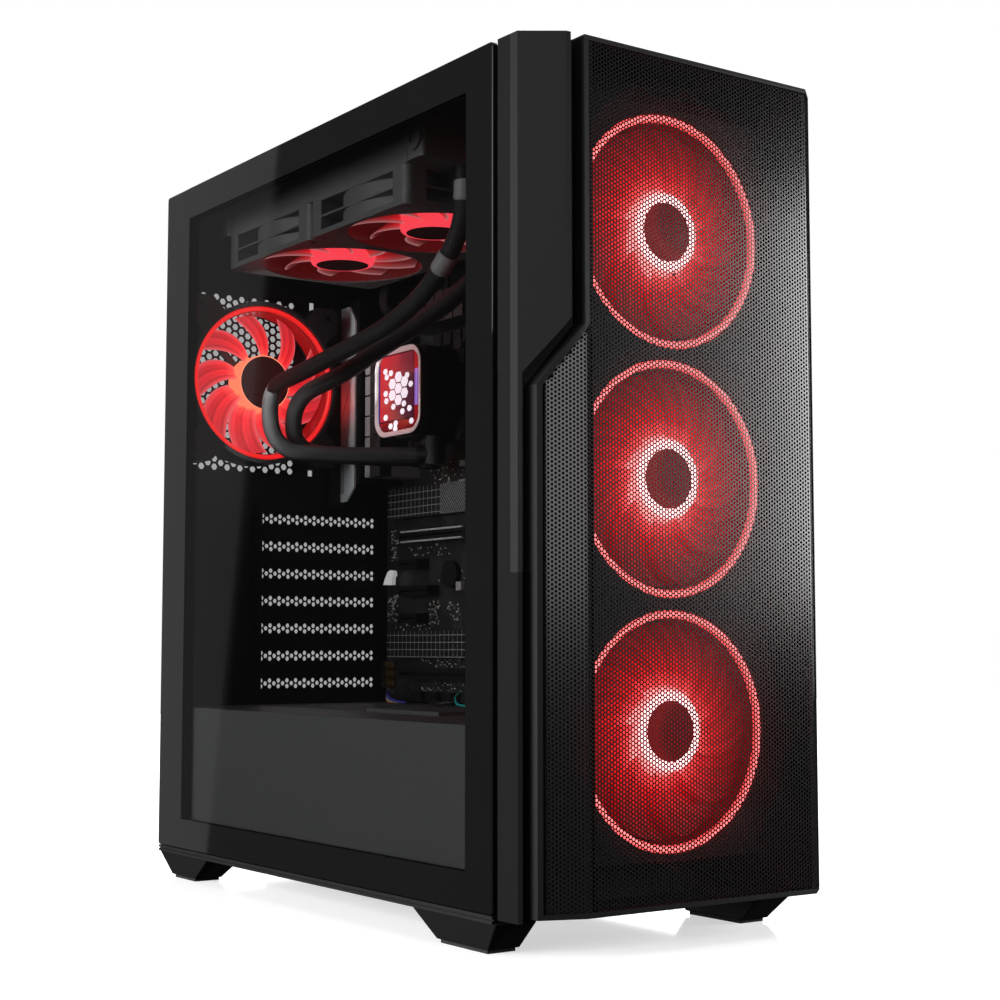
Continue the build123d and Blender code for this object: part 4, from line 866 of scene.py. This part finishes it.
def half_round(inner, outer, low, high, steps=9):
    angle = np.linspace(0, pi, steps)
    middle, half = (inner + outer) / 2, (outer - inner) / 2
    return [(middle + half * cos(a), low + (high - low) * sin(a) ** 0.6) for a in angle]


def bore_band(radius, high):
    """Thin band just inside a fan's bore, from 3.5 mm up to a height."""
    return [(radius, 3.5), (radius - 0.25, 3.5), (radius - 0.25, high), (radius, high)]


front_ring = ring_finish("front_ring_light", (2.6, 0.42, 0.42), (1.2, 0.012, 0.014), 64.4, 2.4)
rear_ring = ring_finish("rear_ring_light", (2.4, 0.05, 0.05), (1.5, 0.006, 0.008), 54.7, 1.9)
front_bore = ring_finish("front_bore_light", (0.16, 0.001, 0.0015), (0.16, 0.001, 0.0015), 61.8, 1.0)
rear_bore = ring_finish("rear_bore_light", (0.7, 0.006, 0.008), (0.7, 0.006, 0.008), 52.6, 1.0)
roof_bore = ring_finish("roof_bore_light", (0.11, 0.002, 0.003), (0.11, 0.002, 0.003), 56.8, 1.0)
rings = []
for level, place in FRONT_FANS.items():
    rings.append(ring_piece(f"front_ring_{level}", front_ring, place, half_round(62.2, 66.6, 21.3, 24.4)))
    ring_piece(f"front_bore_{level}", front_bore, place, bore_band(61.95, 20.8))
rings.append(ring_piece("rear_ring", rear_ring, REAR_FAN, half_round(53.0, 56.4, 21.3, 24.4)))
ring_piece("rear_bore", rear_bore, REAR_FAN, bore_band(52.7, 20.8))
for end, place in ROOF_FANS.items():
    ring_piece(f"roof_bore_{end}", roof_bore, place, bore_band(56.95, 24.2), DOWNWARD)
for ring in rings:
    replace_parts(ring, "fan_light_rings")
print(len(rings), "light rings")

# %% [markdown]
# The pump's cap is a small mirror box: a pale frame, and a red face in which hexagons glow, with
# a rosette of larger ones in its middle. The cap is a rounded outline drawn in step by step, and
# the face's colours are a formula of its place.

# %% Pump cap
CAP_CENTRE = (114.5, 343.5)
CAP_STEPS = [(31.0, 0.0), (23.4, 0.0), (22.4, 0.5), (22.05, 1.2), (22.3, 1.9), (23.3, 3.9), (24.2, 4.3)]

cap_face = Finish("cap_face", {"Roughness": 0.14, "Emission Strength": 1.5, "Coat Weight": 0.5})
_, y, z = cap_face.place()
over, rise = CAP_CENTRE[0] - y, z - CAP_CENTRE[1]
depth = cap_face.attribute("inset")
pale, shell = (depth > 0.3) * (depth < 4.1), depth < 0.3
inner = cap_face.within(over, rise, (-25.5, -19.8), (19.2, 27))
edge = cap_face.within(over, rise, (-26.5, -21.0), (20.4, 28)) - inner
swirl = cap_face.noise(20.0)
across = (over + 26) / 46 + 0.30 * (swirl - 0.5) - rise / 190
red = cap_face.ramp(across, [
    (0.0, (0.95, 0.04, 0.06)), (0.30, (0.62, 0.045, 0.06)), (0.50, (0.34, 0.04, 0.06)),
    (0.75, (0.16, 0.03, 0.05)), (1.0, (0.10, 0.012, 0.04))])
side = cap_face.ramp(abs(over - 23.2) / 6, [(0.0, (0.50, 0.40, 1.0)), (0.28, (0.42, 0.16, 0.80)),
                                            (0.6, (0.55, 0.004, 0.05)), (1.0, (0.75, 0.0, 0.01))])
wall_red = cap_face.ramp((rise + 30) / 60, [
    (0.0, (0.10, 0.0, 0.004)), (0.2, (0.45, 0.004, 0.01)), (1.0, (0.50, 0.01, 0.01))])
lower = cap_face.mix((abs(rise - 1) < 13) * (over > 19.0), wall_red, side)
face = cap_face.mix(inner, lower, red)
face = cap_face.mix(edge, face, (0.015, 0.001, 0.015))
face = cap_face.mix(over < -26.2, face, (0.10, 0.03, 0.40))
face = cap_face.mix(pale, face, (0.30, 0.20, 0.21))
cap_face.feed("Emission Color", cap_face.mix(shell, face, (0, 0, 0)))
cap_face.paint(pale, (0.010, 0.006, 0.006), (0.55, 0.50, 0.50))


def drawn_in(centre, size, radius, steps):
    """Rounded outline square to X at each (x, inset) step, from the wall to the face, and a cap."""
    low, high = np.array(centre) - np.array(size) / 2, np.array(centre) + np.array(size) / 2
    points = set_at([(x, rounded_outline(low + depth, high - depth, max(radius - depth, 1.0), 7))
                     for x, depth in steps])
    return [grid(points, close_columns=True), (points[-1], np.arange(points.shape[1])[::-1][None])]


cap_parts = drawn_in(CAP_CENTRE, (62.0, 64.0), 14.0, CAP_STEPS)
ring_size = len(cap_parts[1][0])
insets = np.repeat([step[1] for step in CAP_STEPS], ring_size)
cap = make("cap_shell", cap_parts, cap_face, "chassis",
           layers={"inset": np.concatenate([insets, np.full(ring_size, CAP_STEPS[-1][1])])})
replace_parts(cap, "pump_cap")
print("cap drawn in over", len(CAP_STEPS), "steps")

# %% Glowing hexagons in the cap
GLOW_SPOTS = [
    (-18.4, 16.5), (-16.5, 12.2), (-10.8, 14.5), (11.0, 10.5), (15.9, 3.6), (-17.8, 0.3), (-16.8, -5.1),
    (-7.3, -10.2), (6.9, -9.4), (14.3, -13.5), (4.9, -14.8), (-17.6, -17.1), (-10.9, -24.1),
    (-4.0, -22.6), (-4.6, -26.4), (17.0, -22.8)]
ROSETTE = [(-0.6, 2.3), (-0.6, 10.6), (-0.6, -6.0), (7.6, 6.4), (7.6, -1.8), (-8.8, 6.4), (-8.8, -1.8)]

white_glow = Finish("white_glow", {"Emission Strength": 2.0, "Roughness": 0.4})
white_glow.feed("Emission Color", white_glow.mix(
    white_glow.noise(12.0), (0.80, 0.62, 0.78), (0.95, 0.90, 1.0)))


def hexagon_plates(spots, wide, tall, low, high):
    """Six-sided plates square to X: two rings of six corners each, and a lid."""
    angle = np.arange(6) * pi / 3
    ring = np.stack([wide / 2 * np.cos(angle), tall / sqrt(3) * np.sin(angle)], -1)
    flat = np.array([(CAP_CENTRE[0] - over, CAP_CENTRE[1] + rise) for over, rise in spots])[:, None] + ring
    layers = [np.concatenate([np.full((*flat.shape[:2], 1), x), flat], -1) for x in (low, high)]
    points = np.stack(layers, 1).reshape(-1, 3) * MM
    base = 12 * np.arange(len(spots))[:, None, None]
    walls = grid(np.zeros((2, 6, 3)), close_columns=True)[1][None] + base
    lids = np.arange(6, 12)[::-1][None, None] + base
    return [(points, walls.reshape(-1, 4)), (points, lids.reshape(-1, 6))]


spots = hexagon_plates(GLOW_SPOTS, 6.0, 4.0, 24.3, 23.9)
rosette = hexagon_plates(ROSETTE, 9.4, 7.2, 24.3, 23.8)
make("cap_hexagons", spots + rosette, white_glow, "chassis")
print(len(GLOW_SPOTS) + len(ROSETTE), "hexagons")

# %% [markdown]
# Brushed and cast metal parts stand along the board's rear edge: a long cover plate over the rear
# sockets and finned blocks beside it. Their finish is a metal with a fine grain drawn out along Z.

# %% Metals
def metal(name, colour, roughness, stretch=(1.0, 1.0, 0.08), shine=0.4):
    """Metal whose noise is squeezed along one axis, so that it shows brush marks."""
    made = Finish(name, {"Metallic": shine})
    where = made.node("ShaderNodeTexCoord", {}, {}, "Object")
    drawn = made.node("ShaderNodeVectorMath", {"operation": "MULTIPLY"}, {0: where, 1: stretch})
    marks = made.node("ShaderNodeTexNoise", {}, {"Vector": drawn, "Scale": 1000 / 1.2, "Detail": 3.0})
    made.paint(marks, [c * 0.75 for c in colour], colour)
    made.feed("Roughness", roughness - 0.08 + 0.16 * marks)
    made.relief(marks, 0.01)
    return made


pale_metal = metal("pale_metal", (0.55, 0.56, 0.57), 0.42, shine=0.2)
dark_metal = metal("dark_metal", (0.075, 0.077, 0.08), 0.42)
bright_metal = metal("bright_metal", (0.85, 0.85, 0.85), 0.26, stretch=(1, 1, 1), shine=0.3)
brass = metal("brass", (0.72, 0.50, 0.20), 0.28, stretch=(1, 1, 1), shine=1.0)
copper = metal("copper", (0.72, 0.36, 0.22), 0.30, stretch=(1, 0.1, 1), shine=1.0)
BLOCK_EDGE, BLOCK_START, BLOCK_FOOT, BLOCK_DEEP = 181, 120, 303, 50
FIN_PITCH, FIN_THICK = 3.1, 0.6
x, y, z = pale_metal.place()
pale_edge = (y > BLOCK_EDGE) + (y > BLOCK_START) * (z < BLOCK_FOOT) * (x > BLOCK_DEEP)
fins = (y > BLOCK_START) * (y % FIN_PITCH < FIN_THICK) * 0.25
pale_metal.paint(pale_edge + fins, (0.022, 0.022, 0.024), (0.50, 0.53, 0.55))
dress(dark_metal, "memory_modules")
dress(pale_metal, "board_heatsinks")
dress(bright_metal, "right_thumbscrews", "rear_io_ports", "top_io_sockets", "cpu_socket", "processor")
dress(brass, "board_standoffs")
dress(copper, "cold_plate")

# %% [markdown]
# Chips, slot armour and the tiniest board parts are all boxes. A cube could be added for each, but
# hundreds of objects are slow, so the corners of all boxes are worked out as one array.

# %% Boxes by the array
def boxes(low, high):
    """Boxes between rows of low and high corners: eight points and six outward quads each."""
    low, high = np.atleast_2d(np.asarray(low, float)), np.atleast_2d(np.asarray(high, float))
    pick = np.array([[i & 1, i >> 1 & 1, i >> 2 & 1] for i in range(8)])
    points = np.where(pick[None] == 0, low[:, None], high[:, None]).reshape(-1, 3)
    quads = np.array([(0, 2, 3, 1), (4, 5, 7, 6), (0, 1, 5, 4), (2, 6, 7, 3), (0, 4, 6, 2), (1, 3, 7, 5)])
    return points * MM, (quads[None] + 8 * np.arange(len(low))[:, None, None]).reshape(-1, 4)


# %% [markdown]
# The cover over the rear sockets is a pale plate with cut corners, a hatched field at its foot and
# a slanted seam, and red light from the rear fan is painted on it as glow. Two copies of an outline
# with walls between make the plate. The hatch, the seam and the painted red glow are formulas of
# place in its finish.

# %% Socket cover plate
PLATE_OUTLINE = [
    (194.6, 281), (194.6, 408), (203, 420), (217, 420), (219, 417), (219, 274), (216, 271), (206, 271)]
PLATE_FRONT, PLATE_BACK = 34.6, 36.0
HATCH_LOW, HATCH_HIGH, HATCH_Y, HATCH_PITCH = 277, 300, 212.5, 3.4
SEAM_Y, SEAM_Z, SEAM_TOP = 205, 352, 372
SHINE_FOOT, SHINE_TALL, SHINE_FACE = 312, 66, 35


def plate_x(outline, low, high):
    """Flat plate square to X from an outline in y and z: two copies of the outline, walls and two lids."""
    points = set_at([(x, np.asarray(outline, float)) for x in (low, high)])
    count = len(outline)
    walls = grid(points, close_columns=True)[1]
    lids = np.stack([np.arange(count)[::-1] + count, np.arange(count)])
    return [(points.reshape(-1, 3), walls), (points.reshape(-1, 3), lids)]


cover_metal = metal("cover_metal", (0.80, 0.80, 0.81), 0.40, shine=0.1)
x, y, z = cover_metal.place()
hatch = (z * 1.1 + y) % HATCH_PITCH < HATCH_PITCH / 2
hatch = hatch * (z > HATCH_LOW) * (z < HATCH_HIGH) * (abs(y - HATCH_Y) < 3.2)
seam = (abs((z - SEAM_Z) * 0.5 + y - SEAM_Y) < 0.5) * (z < SEAM_TOP)
cover_metal.paint(hatch + seam, (0.66, 0.72, 0.74), (0.02, 0.02, 0.02))
# Red light from the rear fan is painted on the plate's face as glow, brightest midway up.
cover_metal.feed("Emission Color", cover_metal.ramp((x < SHINE_FACE) * (z - SHINE_FOOT) / SHINE_TALL, [
    (0.0, (0, 0, 0)), (0.22, (0.10, 0.004, 0.004)), (0.50, (0.75, 0.04, 0.04)), (0.75, (0.35, 0.02, 0.02)),
    (1.0, (0, 0, 0))]))
cover_metal.feed("Emission Strength", 1.0)
plate = plate_x(PLATE_OUTLINE, PLATE_FRONT, PLATE_BACK)
bevelled(make("socket_cover_plate", plate, cover_metal, "chassis"), 0.4)
print("cover plate with", len(PLATE_OUTLINE), "corners")

# %% [markdown]
# Screws on the glass side are blackened, the others are bare steel. Two materials would need two
# meshes, so one finish picks its colour by the side of the case that a point is on.

# %% Screws
screw_steel = Finish("screw_steel", {"Metallic": 1.0})
x, _, _ = screw_steel.place()
screw_steel.feed("Roughness", 0.24 + 0.16 * screw_steel.noise(2.0))
screw_steel.paint(x < 0, (0.70, 0.70, 0.70), (0.03, 0.03, 0.03))
dress(screw_steel, "case_screws")

# %% [markdown]
# Grey sleeves cover the hoses where they leave the radiator, and one clip ties a hose to its
# neighbour. They are short tubes that follow the same path with a larger radius.

# %% Hose sleeves
sleeve_grey = grained("sleeve_grey", (0.28, 0.28, 0.285), 0.55, 1.5, 0.02)


def sleeve(name, route, start, stop, radius):
    """Tube over part of a path: rings of a small lip, the wall and a small lip, closed at both ends."""
    path = spline_points(route)
    far = length_along(path) * 1000
    wall = np.linspace(start + 1, stop - 1, 8)
    stations = np.array([start, start, start + 0.6, *wall, stop - 0.6, stop, stop])
    widths = np.array([-0.9, -0.4, 0, *np.zeros(8), 0, -0.4, -0.9]) + radius
    line = np.stack([np.interp(stations, far, path[:, k]) for k in range(3)], 1)
    spread = line + np.linspace(0, 1e-6, len(line))[:, None] * (path[-1] - path[0])
    rings = tube_along(spread, 1.0)
    rings = line[:, None] + (rings - spread[:, None]) * widths[:, None, None] * MM
    make(name, [grid(rings, close_columns=True)], sleeve_grey, "chassis")
    print(name, stop - start, "mm long")


sleeve("supply_sleeve", "supply_braid", 0.2, 12.0, 6.9)
sleeve("return_sleeve", "return_braid", 0.2, 12.0, 6.9)
sleeve("hose_clip", "supply_braid", 48.0, 61.0, 6.7)

# %% [markdown]
# The main board is a black sheet with hundreds of small parts soldered on. Each cluster is a
# rectangle on the board, filled at random with tiny boxes. A number stored on each box picks its
# shade, so one finish serves tin, clay and tan.

# %% Board sheet
board_mask = Finish("board_mask", {"Specular IOR Level": 0.45})
_, y, z = board_mask.place()
traces = ((y + z) % 2.4 < 0.5) * (board_mask.noise(16.0) > 0.55)
board_mask.paint(traces, (0.011, 0.011, 0.0118), (0.075, 0.075, 0.075))
board_mask.feed("Roughness", 0.42 + 0.12 * board_mask.noise(8.0))
board_mask.relief(traces, 0.03)
dress(board_mask, "motherboard", "nvme_drives")

# %% Small parts
BOARD_FACE = 75.0
CLUSTERS = [
    (195, 211, 180, 200, 90), (137, 152, 178, 195, 60), (111, 127, 180, 194, 40), (196, 206, 227, 250, 60),
    (104, 162, 129, 135, 40), (104, 162, 147, 152, 30), (104, 150, 276, 297, 70), (150, 200, 174, 178, 24),
    (120, 180, 228, 237, 26), (96, 140, 206, 220, 26), (60, 100, 230, 262, 60), (0, 60, 232, 262, 60)]
shade_pick = np.random.default_rng(4)


def scattered(clusters):
    """Random boxes in each cluster's rectangle, on the board's face; also a random shade per box."""
    lows, highs = [], []
    for y0, y1, z0, z1, count in clusters:
        middle = np.column_stack([shade_pick.uniform(y0, y1, count), shade_pick.uniform(z0, z1, count)])
        half = shade_pick.choice([0.35, 0.5, 0.8], (count, 2), p=[0.5, 0.35, 0.15])
        tall = shade_pick.uniform(0.4, 0.9, count)
        lows.append(np.column_stack([BOARD_FACE - tall, middle - half]))
        highs.append(np.column_stack([np.full(count, BOARD_FACE), middle + half]))
    lows, highs = np.vstack(lows), np.vstack(highs)
    return boxes(lows, highs), np.repeat(shade_pick.uniform(0, 1, len(lows)), 8)


speck = Finish("small_parts", {"Roughness": 0.38})
speck.feed("Base Color", speck.ramp(speck.attribute("shade"), [
    (0.0, (0.03, 0.03, 0.03)), (0.35, (0.14, 0.12, 0.10)), (0.5, (0.62, 0.60, 0.57)),
    (0.9, (0.95, 0.94, 0.92))]))
speck.feed("Metallic", 0.25 * (speck.attribute("shade") > 0.55))
parts, shades = scattered(CLUSTERS)
make("small_parts", [parts], speck, "chassis", layers={"shade": shades})
print(len(shades) // 8, "small parts")

# %% [markdown]
# Flat metal covers lie over the drives, cut with a fine square grid and, at one corner, a slanted
# hatch. Grooves this shallow could be cut into the mesh, but a relief in the finish shows the same.

# %% Heat spreaders over the drives
GRID_Y, GRID_Z = 5.7, 5.3
CORNER_Y, CORNER_Z = 122, 200
spreader = Finish("drive_spreader", {"Metallic": 0.2})
_, y, z = spreader.place()
upright = abs(y % GRID_Y - GRID_Y / 2) < 0.24
level = abs(z % GRID_Z - 0.3) < 0.26
corner = (y < CORNER_Y) * (z > CORNER_Z)
slant = ((y * 1.3 + z) % 3.2 < 1.2) * corner
marks = (upright + level) * (1 - corner) + slant
spreader.paint(marks, (0.011, 0.011, 0.0115), (0.42, 0.43, 0.43))
spreader.feed("Roughness", 0.34 + 0.1 * spreader.noise(10.0))
spreader.relief(marks, -0.25)
dress(spreader, "m2_heatsinks")

# %% [markdown]
# The first slot is edged with two steel strips, and a white clip and a few larger chips stand near
# it. They are boxes and one flat plate, and a narrow bevel gives each its bright edge. The clip
# also glows white, as painted light.

# %% Slot armour, clip and chips
ARMOUR = [((63.0, 92.5, z - 0.7), (66.0, 174.5, z + 0.7)) for z in (239.5, 247.1)]
CLIP_FRONT, CLIP_BACK = 66.5, 70.0
CLIP = [(204.2, 208.4), (192, 208.1), (191.4, 214.5), (189.4, 214.6), (189.9, 218.5), (194.3, 219.4),
        (198.3, 217.6), (202, 212.5)]
CHIPS = [((71.5, 105, 202), (75, 112, 208.3)), ((71.5, 114.5, 211), (75, 121.2, 217)),
         ((70.5, 98.8, 291.9), (75, 105.9, 296)), ((70.5, 99.5, 276.6), (75, 107, 282))]
glowing_white_nylon = grained("glowing_white_nylon", (0.92, 0.92, 0.91), 0.45, 3.0, 0.01, spread=0.05)
# The clip glows white though it holds no lamp: painted light.
glowing_white_nylon.feed("Emission Color", (0.9, 0.9, 0.9, 1))
glowing_white_nylon.feed("Emission Strength", 0.7)
chip_clay = grained("chip_clay", (0.42, 0.40, 0.40), 0.45, 2.0, 0.01)
bevelled(make("slot_armour", [boxes(*zip(*ARMOUR))], bright_metal, "chassis"), 0.25, 2)
clip = plate_x(CLIP[::-1], CLIP_FRONT, CLIP_BACK)
bevelled(make("board_clip", clip, glowing_white_nylon, "chassis"), 0.4)
bevelled(make("pale_chips", [boxes(*zip(*CHIPS))], chip_clay, "chassis"), 0.25)
print(len(ARMOUR), "armour strips,", len(CHIPS), "chips and a clip")

# %% [markdown]
# Three audio capacitors stand in a row, each a gold can with a rolled groove under a dark lid. A
# profile turned about the can's axis gives the groove, which a plain cylinder would lack.

# %% Capacitor sleeves
CAN_Y, CAN_Z, CAN_PITCH, CAN_SIDES = 202.0, 133.6, 6.7, 40
LID_DEPTH, LID_SQUARED = 66.5, 30
sleeve_gold = metal("sleeve_gold", (0.62, 0.36, 0.10), 0.30, stretch=(0.1, 1, 1))
x, y, z = sleeve_gold.place()
lid = (x < LID_DEPTH) * (
    ((z - CAN_Z) % CAN_PITCH - CAN_PITCH / 2) ** 2 + (y - CAN_Y) ** 2 < LID_SQUARED)
sleeve_gold.paint(lid, (0.30, 0.17, 0.05), (0.02, 0.016, 0.012))
CAN_STEPS = [(0.3, 65.8), (2.3, 65.8), (2.6, 66.2), (2.9, 65.7), (3.3, 66.3), (3.3, 74.0)]
TOWARDS_GLASS = np.array([(0, 1, 0), (0, 0, -1), (-1, 0, 0)])


def can(y, z):
    """Profile turned round an axis along X: lid with a groove, then the wall."""
    rings = turned([(radius, BOARD_FACE - x) for radius, x in CAN_STEPS], CAN_SIDES)
    return (np.array((BOARD_FACE, y, z)) + rings @ TOWARDS_GLASS) * MM


cans = [can(CAN_Y, CAN_Z + CAN_PITCH * k) for k in range(3)]
walls = [grid(rings, close_columns=True) for rings in cans]
lids = [(rings[0], np.arange(CAN_SIDES)[None]) for rings in cans]
make("capacitor_sleeves", walls + lids, sleeve_gold, "chassis")
print(len(cans), "capacitors")

# %% [markdown]
# Thin coloured wires leave the headers along the board's lower edge and run down to the shroud. They
# are made as the hoses are, along a route of a few points, with fewer sides and a plain coat.

# %% Wires along the board's lower edge
WIRE_RADIUS, BLACK_RADIUS, WIRE_SIDES = 0.8, 1.2, 12
WIRE_COLOURS = [(0.05, 0.05, 0.45), (0.22, 0.10, 0.45), (0.02, 0.30, 0.28), (0.75, 0.72, 0.70),
                (0.80, 0.16, 0.02)]


def wire_coat(name, colour):
    return grained(name, colour, 0.42, 4.0, 0.01, spread=0.15)


for k, colour in enumerate(WIRE_COLOURS):
    cord_piece(f"audio_wire_{k}", WIRE_RADIUS, wire_coat(f"wire_coat_{k}", colour), WIRE_SIDES)
cord_piece("teal_wire", WIRE_RADIUS, wire_coat("wire_teal", (0.02, 0.42, 0.40)), WIRE_SIDES)
black_wire = wire_coat("wire_black", (0.012, 0.012, 0.012))
for k in (1, 2):
    cord_piece(f"black_wire_{k}", BLACK_RADIUS, black_wire, WIRE_SIDES)
